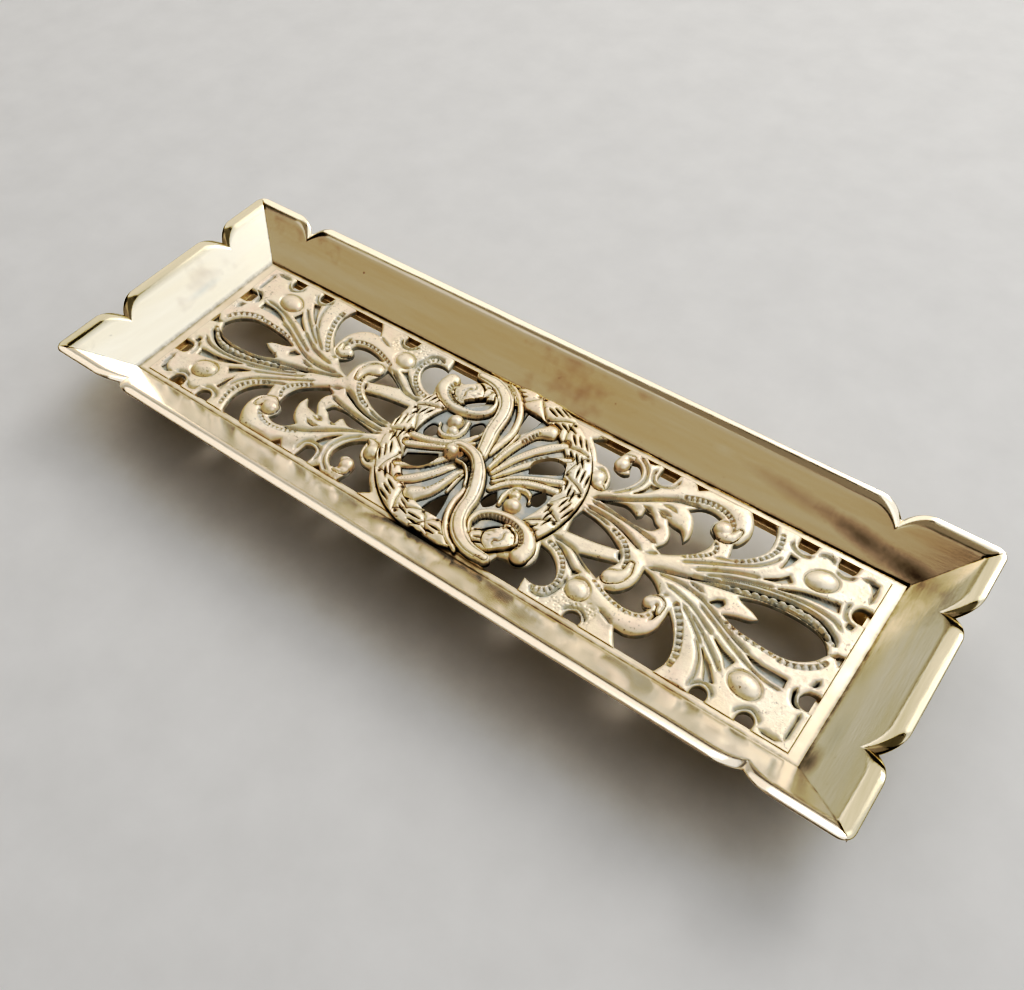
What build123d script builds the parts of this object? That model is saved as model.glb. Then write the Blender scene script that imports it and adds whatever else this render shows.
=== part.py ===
from build123d import *
import os
from math import sqrt

# Pierced brass vanity tray, millimetres, +Z up.
# The origin is on the table, under the middle of the tray. +X runs along the tray, +Y across it.
os.makedirs("parts", exist_ok=True)

# ---- heights above the table ----
frame_bottom = 9.5
shoulder = 11.2
ledge_top = 12.5
rim_top = 22.9
panel_relief = 0.8
medallion_base = 1.0
medallion_relief = 2.0

# ---- plan: half lengths along X and half widths along Y ----
panel_half_length, panel_half_width = 100.0, 26.2
panel_gap = 0.25
ledge_half_length, ledge_half_width = 103.2, 27.73
flange = 1.7
lip = 0.7
pad_length, pad_width = 7.0, 7.2

# ---- flared gallery walls ----
end_run = 13.1
side_run = 11.9
rim_land = 2.6
side_land = rim_land * side_run / end_run
scallop_half_width = 7.0
scallop_depth = 2.7
side_scallops = (-95, 95)
end_scallops = (-20, 20)

# ---- feet and fasteners ----
foot_x, foot_y = 97.5, 23.3
foot_radius = 4.4
foot_sole_radius = 3.6
foot_belly_height = 2.85
foot_neck_radius, foot_neck_height = 2.6, 6.85
foot_collar_radius, foot_collar_height = 3.4, 7.6
screw_radius = 1.5
screw_head_radius = 2.7
screw_head_height = 1.8
screw_recess = 3.0
screw_tip = 11.0
screw_clearance = 0.15
screw_slot = 0.7
rivet_radius = 0.75
rivet_circle = 25.9
rivet_peen = 0.6
rivet_peen_draft = 35

# ---- medallion ----
wreath_outer, wreath_inner = 28.2, 21.4
seat_radius = 23.6
medallion_half_width = 27.5
wreath_clearance = 0.3
ring_inset = 0.6
ring_relief = 0.6
laurel_leaves = 22
laurel_leaf_half_length, laurel_leaf_half_width = 3.0, 1.4
laurel_leaf_turn = 24
laurel_relief = 1.0
volute_relief = 1.4
crossing_relief = 1.8

# Openings of the right half of the panel. Each is a closed outline of curves that meet at
# corners; a curve of two points is straight. The left half is the same, turned by 180 degrees.
openings = {
    "hook": [
        [(23.6, 18.3), (21.2, 21.4), (18.4, 24.0)],
        [(18.4, 24.0), (21.8, 26.6)],
        [(21.8, 26.6), (28.3, 26.6)],
        [(28.3, 26.6), (27.8, 24.6), (27.2, 22.4), (27.5, 20.2), (29.2, 18.5), (31.3, 18.3),
         (32.5, 19.4), (31.8, 20.9), (31.1, 23.1)],
        [(31.1, 23.1), (32.7, 23.4), (34.6, 21.8), (35.5, 19.4), (34.8, 16.2), (33.0, 13.4), (30.3, 11.3)],
        [(30.3, 11.3), (30.0, 13.8), (28.7, 16.5), (26.4, 18.1), (23.6, 18.3)],
    ],
    "almond": [
        [(73.1, 2.3), (76.0, 3.6), (80.0, 4.7), (85.0, 5.1), (90.0, 4.8), (93.5, 3.8), (95.5, 1.8),
         (96.3, 0.2)],
        [(96.3, 0.2), (95.0, -2.2), (93.0, -4.2), (90.0, -5.8), (85.5, -6.3), (80.0, -5.9), (76.0, -5.3),
         (72.4, -4.0)],
        [(72.4, -4.0), (75.0, -2.9), (78.3, -1.9), (79.8, -0.5)],
        [(79.8, -0.5), (77.8, 0.6), (75.2, 1.4), (73.1, 2.3)],
    ],
    "scroll_back": [
        [(63.9, 26.6), (65.6, 24.2), (66.8, 21.2), (66.9, 18.4), (65.9, 15.6), (64.9, 14.6)],
        [(64.9, 14.6), (65.5, 12.6), (65.8, 10.8)],
        [(65.8, 10.8), (68.8, 12.8), (71.2, 15.6), (72.4, 18.8), (72.2, 22.2), (71.2, 25.2), (70.0, 26.6)],
        [(70.0, 26.6), (63.9, 26.6)],
    ],
    "scroll_foot": [
        [(61.9, -10.4), (64.2, -13.0), (66.4, -16.3), (67.9, -20.0), (68.0, -23.2), (66.8, -26.6)],
        [(66.8, -26.6), (57.4, -26.6)],
        [(57.4, -26.6), (55.8, -24.6), (54.0, -21.8)],
        [(54.0, -21.8), (57.0, -21.7), (60.0, -19.9), (61.8, -17.0), (62.2, -13.6), (61.9, -10.4)],
    ],
    "curl": [
        [(51.2, -3.8), (54.4, -5.2), (57.6, -7.7)],
        [(57.6, -7.7), (55.9, -9.1), (55.2, -11.0), (56.1, -12.7), (57.6, -13.2)],
        [(57.6, -13.2), (56.6, -14.8), (53.4, -15.6), (49.8, -15.2), (46.4, -14.2)],
        [(46.4, -14.2), (49.0, -13.0), (51.0, -10.2), (51.6, -7.0), (51.2, -3.8)],
    ],
    "stem": [
        [(29.2, 2.6), (33.5, 2.1), (38.2, 0.6), (43.2, -2.3)],
        [(43.2, -2.3), (37.0, -3.8), (29.6, -4.9)],
        [(29.6, -4.9), (28.8, -1.0), (29.2, 2.6)],
    ],
    "bar": [
        [(35.8, -8.9), (40.0, -7.5), (45.0, -5.7)],
        [(45.0, -5.7), (43.8, -8.4), (43.2, -10.6), (43.2, -12.5)],
        [(43.2, -12.5), (39.4, -10.9), (35.8, -8.9)],
    ],
    "leaf": [
        [(30.3, 8.0), (33.8, 9.2), (37.2, 10.2), (39.4, 9.7), (41.2, 8.7)],
        [(41.2, 8.7), (42.1, 9.8), (42.0, 11.6)],
        [(42.0, 11.6), (44.2, 11.2), (46.0, 9.6), (47.5, 8.9)],
        [(47.5, 8.9), (46.4, 7.2), (43.4, 6.5), (38.5, 6.9), (30.3, 8.0)],
    ],
    "lobe": [
        [(48.3, 12.0), (50.2, 11.5), (52.2, 11.2), (53.5, 9.9), (54.5, 8.5)],
        [(54.5, 8.5), (55.1, 10.6), (54.3, 14.0), (52.6, 16.7), (50.7, 18.0)],
        [(50.7, 18.0), (53.2, 20.2), (56.0, 20.8), (58.7, 20.2)],
        [(58.7, 20.2), (57.6, 18.2), (58.1, 15.8), (60.2, 14.3)],
        [(60.2, 14.3), (60.3, 11.0), (58.6, 7.4), (55.6, 4.7), (52.2, 2.4)],
        [(52.2, 2.4), (49.9, 3.6)],
        [(49.9, 3.6), (51.2, 5.8), (50.9, 8.6), (48.3, 12.0)],
    ],
    "keyhole": [
        [(38.9, 26.6), (38.9, 23.8), (39.4, 22.0), (41.0, 21.2), (42.7, 22.0), (43.1, 23.8), (43.4, 26.6)],
        [(43.4, 26.6), (38.9, 26.6)],
    ],
    "wide_notch": [
        [(48.3, 26.6), (49.8, 24.6)],
        [(49.8, 24.6), (51.9, 26.6)],
        [(51.9, 26.6), (48.3, 26.6)],
    ],
    "small_notch": [
        [(33.6, 26.6), (35.2, 25.3)],
        [(35.2, 25.3), (37.0, 26.6)],
        [(37.0, 26.6), (33.6, 26.6)],
    ],
    "spiral": [
        [(26.8, -12.0), (29.6, -12.6), (32.6, -14.6), (34.7, -17.2), (35.2, -19.6), (33.9, -21.8),
         (31.4, -22.6), (29.0, -22.2)],
        [(29.0, -22.2), (29.3, -24.4), (29.8, -26.6)],
        [(29.8, -26.6), (18.8, -26.6)],
        [(18.8, -26.6), (19.4, -24.0), (20.2, -21.4)],
        [(20.2, -21.4), (22.4, -20.7), (25.0, -21.0), (27.6, -19.4), (28.3, -16.6), (26.8, -12.0)],
    ],
}

# Round-ended bites in the long edges and in the short edge: middle, half width and depth.
edge_bites = [(79.5, 1, 2.2, 3.4), (90.0, 1, 2.3, 3.5),
              (78.0, -1, 1.9, 3.0), (89.2, -1, 2.0, 3.4), (44.6, -1, 2.1, 3.0)]
end_bites = [(14.0, 2.1, 3.8), (-12.8, 2.3, 3.8)]

# Openings inside the wreath, right half.
wreath_openings = {
    "crescent": [
        [(18.6, 8.5), (15.0, 6.2), (11.7, 4.2)],
        [(11.7, 4.2), (10.6, 6.5), (11.6, 9.2), (13.8, 11.4), (16.5, 12.1), (18.6, 11.0)],
        [(18.6, 11.0), (18.6, 8.5)],
    ],
    "drop": [[(18.4, 1.9), (20.1, -0.6), (19.4, -3.6), (17.2, -3.4), (16.6, -1.0), (18.4, 1.9)]],
    "slit": [[(8.3, -5.4), (10.3, -8.6), (8.5, -11.2), (7.0, -10.2), (7.2, -7.6), (8.3, -5.4)]],
    "half_moon": [
        [(12.2, -18.9), (12.4, -17.4), (14.0, -15.4), (15.8, -14.0), (17.3, -13.9)],
        [(17.3, -13.9), (16.0, -15.6), (14.0, -17.6), (12.2, -18.9)],
    ],
    "wedge": [
        [(-0.6, 21.4), (0.1, 17.0), (1.3, 13.0)],
        [(1.3, 13.0), (2.7, 15.4), (3.7, 18.4), (4.0, 21.0)],
        [(4.0, 21.0), (-0.6, 21.4)],
    ],
}

# Raised scrolls of the right half: (x, y, width) along the middle of each.
scrolls = {
    "arch": [(30.0, 8.6, 0.8), (38.0, 15.0, 2.2), (45.0, 20.6, 3.2), (52.0, 24.0, 2.6), (59.5, 24.6, 3.2),
             (64.0, 21.6, 3.6), (64.6, 17.6, 3.0), (62.4, 15.8, 1.6)],
    "hook": [(31.2, 10.4, 1.4), (35.0, 13.6, 2.4), (37.0, 18.0, 2.4), (36.2, 22.4, 2.4), (32.6, 24.8, 2.0)],
    "leaf": [(33.0, 9.9, 1.0), (40.0, 13.0, 2.6), (46.0, 15.0, 3.6), (50.6, 15.2, 4.0), (53.4, 12.0, 2.4)],
    "upper_stem": [(28.6, 5.3, 1.4), (36.0, 5.5, 1.6), (43.0, 4.2, 2.2), (48.6, 1.8, 2.6)],
    "lower_stem": [(28.6, 3.6, 0.8), (36.0, 3.4, 1.2), (43.0, 1.4, 2.0), (48.0, -2.6, 2.4),
                   (49.6, -7.6, 2.4), (47.2, -11.8, 2.4)],
    "bar": [(28.8, -6.3, 2.6), (36.0, -5.8, 2.8), (43.0, -4.3, 2.4)],
    "branch": [(50.6, -0.6, 2.6), (56.0, 2.4, 3.6), (62.0, 6.6, 3.6), (69.0, 9.8, 3.4), (76.0, 16.6, 2.6)],
    "small_curl": [(57.0, 4.6, 1.0), (61.4, 8.6, 1.8), (63.2, 12.2, 2.0), (61.8, 14.2, 1.2)],
    "ground_curl": [(30.0, -9.6, 1.0), (40.0, -13.4, 2.2), (48.0, -17.8, 2.8), (55.0, -19.0, 3.2),
                    (59.8, -16.2, 3.2), (60.6, -11.4, 2.6), (58.6, -8.8, 1.4)],
    "spray": [(53.6, -3.4, 1.4), (62.0, -6.0, 2.8), (68.6, -11.6, 3.0), (72.6, -18.6, 3.0),
              (72.6, -25.0, 2.4)],
    "spiral": [(28.4, -10.8, 0.8), (33.4, -12.6, 1.4), (36.4, -16.8, 1.6), (36.2, -21.0, 1.6),
               (33.0, -23.8, 1.4)],
    "almond_rim": [(62.0, 1.4, 0.8), (72.0, 4.6, 1.6), (80.0, 6.8, 1.8), (88.0, 7.2, 1.8), (95.0, 4.6, 1.6)],
    "almond_foot": [(73.0, -5.2, 0.8), (80.0, -7.0, 1.4), (88.0, -7.4, 1.6), (94.0, -5.6, 1.6),
                    (97.2, -2.2, 1.4)],
}

# Scroll eyes and cabochons: x, y, long half axis, short half axis, turn in degrees.
eyes = [(60.6, 17.6, 2.4, 2.4, 0), (29.6, 21.2, 2.1, 2.1, 0), (45.4, -10.2, 2.2, 2.2, 0),
        (56.9, -10.7, 1.6, 1.6, 0), (26.7, 13.6, 2.3, 2.3, 0),
        (42.0, -17.7, 3.1, 2.8, -20), (86.7, 17.6, 3.8, 2.9, 22), (85.2, -17.3, 3.9, 2.9, -14)]
eye_height = 1.6
eye_draft = 30

# Crossing scroll of the medallion, its eye, and the volute that it ends in.
crossing = [(-10.2, -1.0, 2.2), (-8.5, 0.9, 2.6), (-5.5, 0.9, 2.8), (-2.3, -0.3, 3.2), (0.4, -2.8, 3.8),
            (2.5, -6.0, 4.2), (3.9, -9.1, 4.2), (4.6, -12.0, 4.0), (5.0, -15.4, 4.0), (6.3, -19.2, 4.2),
            (9.2, -22.4, 4.2), (13.6, -24.2, 4.0), (18.6, -24.3, 3.8)]
hidden_points = 5
crossing_eye = (-8.7, -2.2, 2.1)
volute = [(10.6, -20.6, 1.4), (9.1, -17.6, 1.8), (9.3, -14.6, 2.0), (11.4, -12.1, 2.2), (15.2, -10.9, 2.4),
          (19.6, -11.0, 2.6), (23.2, -12.9, 3.0), (25.4, -16.0, 3.4)]
volute_eye = (25.2, -18.6, 2.5)
berry_disc = (17.7, -17.5, 4.5)
fan_eye = (8.4, 19.2, 2.2)
inner_eyes = [(14.4, -6.8, 2.4), (13.2, -3.6, 1.9)]

both_halves = (1, -1)


def closed_outline(curves, turn):
    """Draws one closed outline in the current line builder.

    turn is 1, or -1 for the half turned by 180 degrees.
    """
    for curve in curves:
        points = [(turn * x, turn * y) for x, y in curve]
        if len(points) == 2:
            Line(*points)
        else:
            Spline(*points)


def scroll_outline(path, turn):
    """Draws the outline of a band whose width is given at each point of its middle line."""
    left, right = [], []
    for i, (x, y, width) in enumerate(path):
        before = path[max(i - 1, 0)]
        after = path[min(i + 1, len(path) - 1)]
        dx, dy = after[0] - before[0], after[1] - before[1]
        reach = width / 2 / sqrt(dx * dx + dy * dy)
        left.append((turn * (x - dy * reach), turn * (y + dx * reach)))
        right.append((turn * (x + dy * reach), turn * (y - dx * reach)))
    Spline(*left)
    Line(left[-1], right[-1])
    Spline(*reversed(right))
    Line(right[0], left[0])


with BuildSketch() as panel_openings:
    for turn in both_halves:
        for curves in openings.values():
            with BuildLine():
                closed_outline(curves, turn)
            make_face()
        for x, side, half_width, depth in edge_bites:
            with Locations((turn * x, turn * side * (panel_half_width - depth + half_width))):
                Circle(half_width)
            with Locations((turn * x, turn * side * panel_half_width)):
                Rectangle(2 * half_width, 2 * (depth - half_width))
        for y, half_width, depth in end_bites:
            with Locations((turn * (panel_half_length - depth + half_width), turn * y)):
                Circle(half_width)
            with Locations((turn * panel_half_length, turn * y)):
                Rectangle(2 * (depth - half_width), 2 * half_width)

with BuildSketch() as wreath_gaps:
    for turn in both_halves:
        for curves in wreath_openings.values():
            with BuildLine():
                closed_outline(curves, turn)
            make_face()


def gallery_wall(name, outward, foot, run, land, half_span, spread, scallops):
    """One flared wall: a slanting section run along the wall, scalloped on top and mitred at both ends.

    foot is how far out the wall's inner face starts, half_span is half its length there, and spread is
    how much further out its ends reach at the rim.
    """
    outer_foot = foot + run + land - (rim_top - shoulder) * run / (rim_top - ledge_top)
    along = Vector(0, 0, 1).cross(outward)
    section_plane = Plane(origin=(0, 0, 0), x_dir=outward, z_dir=outward.cross(Vector(0, 0, 1)))
    elevation_plane = Plane(origin=outward * foot, x_dir=along, z_dir=along.cross(Vector(0, 0, 1)))
    plan_plane = Plane(origin=(0, 0, 0), x_dir=along, z_dir=(0, 0, 1))
    reach = run + land
    with BuildPart() as wall:
        with BuildSketch(section_plane):
            with BuildLine():
                Polyline(
                    (foot, shoulder),
                    (foot, ledge_top),
                    (foot + run, rim_top),
                    (foot + run + land, rim_top),
                    (outer_foot, shoulder),
                    close=True,
                )
            make_face()
        extrude(amount=half_span + spread, both=True)
        with BuildSketch(plan_plane):
            with BuildLine():
                Polyline(
                    (-half_span, -foot),
                    (half_span, -foot),
                    (half_span + spread, -foot - reach),
                    (-half_span - spread, -foot - reach),
                    close=True,
                )
            make_face()
        extrude(amount=rim_top, mode=Mode.INTERSECT)
        for middle in scallops:
            with BuildSketch(elevation_plane):
                with BuildLine():
                    start = (middle - scallop_half_width, rim_top)
                    cusp = (middle, rim_top - scallop_depth)
                    end = (middle + scallop_half_width, rim_top)
                    TangentArc(start, cusp, tangent=(1, 0))
                    TangentArc(end, cusp, tangent=(-1, 0))
                    Line(start, end)
                make_face()
            extrude(amount=2 * reach, both=True, mode=Mode.SUBTRACT)
    wall.part.label = name
    export_step(wall.part, f"parts/{name}.step")


mitre_side_spread = end_run + rim_land
mitre_end_spread = side_run + side_land
gallery_wall("gallery_front", Vector(0, -1, 0), ledge_half_width, side_run, side_land,
             ledge_half_length, mitre_side_spread, side_scallops)
gallery_wall("gallery_back", Vector(0, 1, 0), ledge_half_width, side_run, side_land,
             ledge_half_length, mitre_side_spread, side_scallops)
gallery_wall("gallery_left", Vector(-1, 0, 0), ledge_half_length, end_run, rim_land,
             ledge_half_width, mitre_end_spread, end_scallops)
gallery_wall("gallery_right", Vector(1, 0, 0), ledge_half_length, end_run, rim_land,
             ledge_half_width, mitre_end_spread, end_scallops)

# ---- base frame: a ring with a flange under the walls, a rebate for the panel and a pad in each corner ----
opening_length, opening_width = 2 * (panel_half_length - lip), 2 * (panel_half_width - lip)
with BuildPart() as base_frame:
    with BuildSketch(Plane.XY.offset(frame_bottom)):
        Rectangle(2 * (ledge_half_length + flange), 2 * (ledge_half_width + flange))
    extrude(amount=shoulder - frame_bottom)
    with BuildSketch(Plane.XY.offset(shoulder)):
        Rectangle(2 * ledge_half_length, 2 * ledge_half_width)
        Rectangle(2 * (panel_half_length + panel_gap), 2 * (panel_half_width + panel_gap), mode=Mode.SUBTRACT)
    extrude(amount=ledge_top - shoulder)
    with BuildSketch(Plane.XY.offset(frame_bottom)):
        Rectangle(opening_length, opening_width)
        with GridLocations(opening_length - pad_length, opening_width - pad_width, 2, 2):
            Rectangle(pad_length, pad_width, mode=Mode.SUBTRACT)
    extrude(amount=shoulder - frame_bottom, mode=Mode.SUBTRACT)
    with BuildSketch(Plane.XY.offset(frame_bottom)):
        with GridLocations(2 * foot_x, 2 * foot_y, 2, 2):
            Circle(screw_radius)
    extrude(amount=screw_tip - frame_bottom, mode=Mode.SUBTRACT)
base_frame.part.label = "base_frame"
export_step(base_frame.part, "parts/base_frame.step")

# ---- pierced panel: an openwork plate with raised scrolls, eyes and cabochons ----
with BuildPart() as pierced_panel:
    with BuildSketch(Plane.XY.offset(shoulder)):
        Rectangle(2 * panel_half_length, 2 * panel_half_width)
        Circle(seat_radius, mode=Mode.SUBTRACT)
        add(panel_openings.sketch, mode=Mode.SUBTRACT)
    extrude(amount=ledge_top - shoulder)
    with BuildSketch(Plane.XY.offset(ledge_top)):
        for turn in both_halves:
            for path in scrolls.values():
                with BuildLine():
                    scroll_outline(path, turn)
                make_face()
        Circle(wreath_outer + wreath_clearance, mode=Mode.SUBTRACT)
        add(panel_openings.sketch, mode=Mode.SUBTRACT)
        Rectangle(2 * panel_half_length, 2 * panel_half_width, mode=Mode.INTERSECT)
    extrude(amount=panel_relief)
    with BuildSketch(Plane.XY.offset(ledge_top)):
        for turn in both_halves:
            for x, y, long_half, short_half, angle in eyes:
                with Locations((turn * x, turn * y)):
                    Ellipse(long_half, short_half, rotation=angle)
        Circle(wreath_outer + wreath_clearance, mode=Mode.SUBTRACT)
    extrude(amount=eye_height, taper=eye_draft)
    with BuildSketch(Plane.XY.offset(shoulder)):
        with PolarLocations(rivet_circle, 4, start_angle=45):
            Circle(rivet_radius)
    extrude(amount=ledge_top - shoulder, mode=Mode.SUBTRACT)
pierced_panel.part.label = "pierced_panel"
export_step(pierced_panel.part, "parts/pierced_panel.step")

# ---- wreath medallion: laurel ring, crossing scrolls, volutes and fan leaves on one thin back ----
with BuildPart() as wreath_medallion:
    with BuildSketch(Plane.XY.offset(ledge_top)):
        Circle(wreath_outer)
        for turn in both_halves:
            with Locations((turn * volute_eye[0], turn * volute_eye[1])):
                Circle(volute_eye[2])
            with BuildLine():
                scroll_outline(volute, turn)
            make_face()
            with BuildLine():
                scroll_outline(crossing, turn)
            make_face()
        add(wreath_gaps.sketch, mode=Mode.SUBTRACT)
        Rectangle(4 * wreath_outer, 2 * medallion_half_width, mode=Mode.INTERSECT)
    extrude(amount=medallion_base)
    with BuildSketch(Plane.XY.offset(ledge_top + medallion_base)):
        Circle(wreath_outer - ring_inset)
        Circle(wreath_inner, mode=Mode.SUBTRACT)
        Rectangle(4 * wreath_outer, 2 * medallion_half_width, mode=Mode.INTERSECT)
    extrude(amount=ring_relief)
    with BuildSketch(Plane.XY.offset(ledge_top + medallion_base)):
        with PolarLocations((wreath_outer + wreath_inner) / 2, laurel_leaves):
            Ellipse(laurel_leaf_half_width, laurel_leaf_half_length, rotation=laurel_leaf_turn)
        Rectangle(4 * wreath_outer, 2 * medallion_half_width, mode=Mode.INTERSECT)
    extrude(amount=laurel_relief)
    with BuildSketch(Plane.XY.offset(ledge_top + medallion_base)):
        for turn in both_halves:
            with BuildLine():
                scroll_outline(volute, turn)
            make_face()
            with Locations((turn * berry_disc[0], turn * berry_disc[1])):
                Circle(berry_disc[2])
        add(wreath_gaps.sketch, mode=Mode.SUBTRACT)
    extrude(amount=volute_relief)
    with BuildSketch(Plane.XY.offset(ledge_top + medallion_base)):
        with BuildLine():
            scroll_outline(crossing, 1)
        make_face()
        with BuildLine():
            scroll_outline(crossing[hidden_points:], -1)
        make_face()
    extrude(amount=crossing_relief)
    with BuildSketch(Plane.XY.offset(ledge_top + medallion_base)):
        for turn in both_halves:
            for x, y, radius in [volute_eye, fan_eye, *inner_eyes]:
                with Locations((turn * x, turn * y)):
                    Circle(radius)
        with Locations(crossing_eye[:2]):
            Circle(crossing_eye[2])
    extrude(amount=medallion_relief, taper=eye_draft)
    with BuildSketch(Plane.XY.offset(ledge_top)):
        with PolarLocations(rivet_circle, 4, start_angle=45):
            Circle(rivet_radius)
    extrude(amount=medallion_base, mode=Mode.SUBTRACT)
wreath_medallion.part.label = "wreath_medallion"
export_step(wreath_medallion.part, "parts/wreath_medallion.step")

# ---- rivets: pins on the medallion's back, peened under the panel ----
with BuildPart() as medallion_rivets:
    with BuildSketch(Plane.XY.offset(shoulder)):
        with PolarLocations(rivet_circle, 4, start_angle=45):
            Circle(rivet_radius)
    extrude(amount=ledge_top + medallion_base - shoulder)
    with BuildSketch(Plane.XY.offset(shoulder)):
        with PolarLocations(rivet_circle, 4, start_angle=45):
            Circle(2 * rivet_radius)
    extrude(amount=-rivet_peen, taper=rivet_peen_draft)
medallion_rivets.part.label = "medallion_rivets"
export_step(medallion_rivets.part, "parts/medallion_rivets.step")

# ---- turned bun feet, each held by a screw from below ----
feet = {
    "foot_front_left": (-foot_x, -foot_y),
    "foot_front_right": (foot_x, -foot_y),
    "foot_back_left": (-foot_x, foot_y),
    "foot_back_right": (foot_x, foot_y),
}
for name, (x, y) in feet.items():
    with BuildPart() as foot:
        with BuildSketch(Plane.XZ.offset(-y)):
            with BuildLine():
                Polyline((x, 0), (x + foot_sole_radius, 0))
                Spline(
                    (x + foot_sole_radius, 0),
                    (x + foot_radius, foot_belly_height),
                    (x + foot_neck_radius, foot_neck_height),
                )
                Polyline(
                    (x + foot_neck_radius, foot_neck_height),
                    (x + foot_collar_radius, foot_collar_height),
                    (x + foot_collar_radius, frame_bottom),
                    (x, frame_bottom),
                    (x, 0),
                )
            make_face()
        revolve(axis=Axis((x, y, 0), (0, 0, 1)))
        with Locations(Plane(origin=(x, y, 0), z_dir=(0, 0, -1))):
            CounterBoreHole(
                radius=screw_radius + screw_clearance,
                counter_bore_radius=screw_head_radius + screw_clearance,
                counter_bore_depth=screw_recess,
            )
    foot.part.label = name
    export_step(foot.part, f"parts/{name}.step")

# ---- foot screws: pan heads in the recesses, threads in the corner pads ----
with BuildPart() as foot_screws:
    with BuildSketch(Plane.XY.offset(screw_recess)):
        with GridLocations(2 * foot_x, 2 * foot_y, 2, 2):
            Circle(screw_radius)
    extrude(amount=screw_tip - screw_recess)
    with BuildSketch(Plane.XY.offset(screw_recess)):
        with GridLocations(2 * foot_x, 2 * foot_y, 2, 2):
            Circle(screw_head_radius)
    extrude(amount=-screw_head_height)
    with BuildSketch(Plane.XY.offset(screw_recess - screw_head_height)):
        with GridLocations(2 * foot_x, 2 * foot_y, 2, 2):
            Rectangle(screw_slot, 2 * screw_head_radius)
    extrude(amount=screw_head_height / 2, mode=Mode.SUBTRACT)
foot_screws.part.label = "foot_screws"
export_step(foot_screws.part, "parts/foot_screws.step")
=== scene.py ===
import math

import bmesh
import bpy
import numpy as np
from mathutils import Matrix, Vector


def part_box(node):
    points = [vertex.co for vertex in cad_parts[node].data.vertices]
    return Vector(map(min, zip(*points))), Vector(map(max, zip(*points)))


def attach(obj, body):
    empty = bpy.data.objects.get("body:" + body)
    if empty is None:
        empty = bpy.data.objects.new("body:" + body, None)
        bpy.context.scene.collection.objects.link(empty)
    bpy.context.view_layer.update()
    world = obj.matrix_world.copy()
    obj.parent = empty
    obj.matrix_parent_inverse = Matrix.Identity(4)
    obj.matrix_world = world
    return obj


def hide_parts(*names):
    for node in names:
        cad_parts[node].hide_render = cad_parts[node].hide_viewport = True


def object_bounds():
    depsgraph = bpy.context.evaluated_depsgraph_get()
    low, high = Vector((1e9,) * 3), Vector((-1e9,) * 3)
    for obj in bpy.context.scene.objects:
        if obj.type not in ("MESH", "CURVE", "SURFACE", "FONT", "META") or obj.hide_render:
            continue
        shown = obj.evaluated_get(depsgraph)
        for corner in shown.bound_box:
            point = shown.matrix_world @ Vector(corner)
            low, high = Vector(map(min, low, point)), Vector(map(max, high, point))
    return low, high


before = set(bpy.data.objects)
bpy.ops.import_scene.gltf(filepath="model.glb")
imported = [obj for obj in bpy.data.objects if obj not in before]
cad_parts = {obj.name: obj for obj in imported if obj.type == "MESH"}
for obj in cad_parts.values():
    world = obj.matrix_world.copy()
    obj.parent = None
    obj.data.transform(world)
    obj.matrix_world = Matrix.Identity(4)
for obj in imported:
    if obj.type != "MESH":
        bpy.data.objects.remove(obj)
cad_low, cad_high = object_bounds()
MM = 0.001


def link(name, data):
    """Puts an object with this data in the scene."""
    o = bpy.data.objects.new(name, data)
    bpy.context.scene.collection.objects.link(o)
    return o


# ---- Camera: a close, hand-held view of the whole tray from its near right side ----
CAMERA_X, CAMERA_Y, CAMERA_ABOVE_LEDGE = 0.1147, -0.1414, 0.2158
CAMERA_TURN = (39.42, 2.51, 37.51)
ledge_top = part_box("base_frame")[1].z
camera_data = bpy.data.cameras.new("camera")
camera_data.lens = 38.04
camera_data.sensor_width = 36.0
camera_data.shift_x = 0.0452
camera_data.shift_y = -0.0158
camera = link("camera", camera_data)
camera.location = (CAMERA_X, CAMERA_Y, ledge_top + CAMERA_ABOVE_LEDGE)
camera.rotation_euler = [math.radians(a) for a in CAMERA_TURN]
bpy.context.scene.camera = camera

# ---- Ornament ----
# Millimetres in the plan of the tray. Each list is the right half; turned by 180 degrees, it makes the left.

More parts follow.
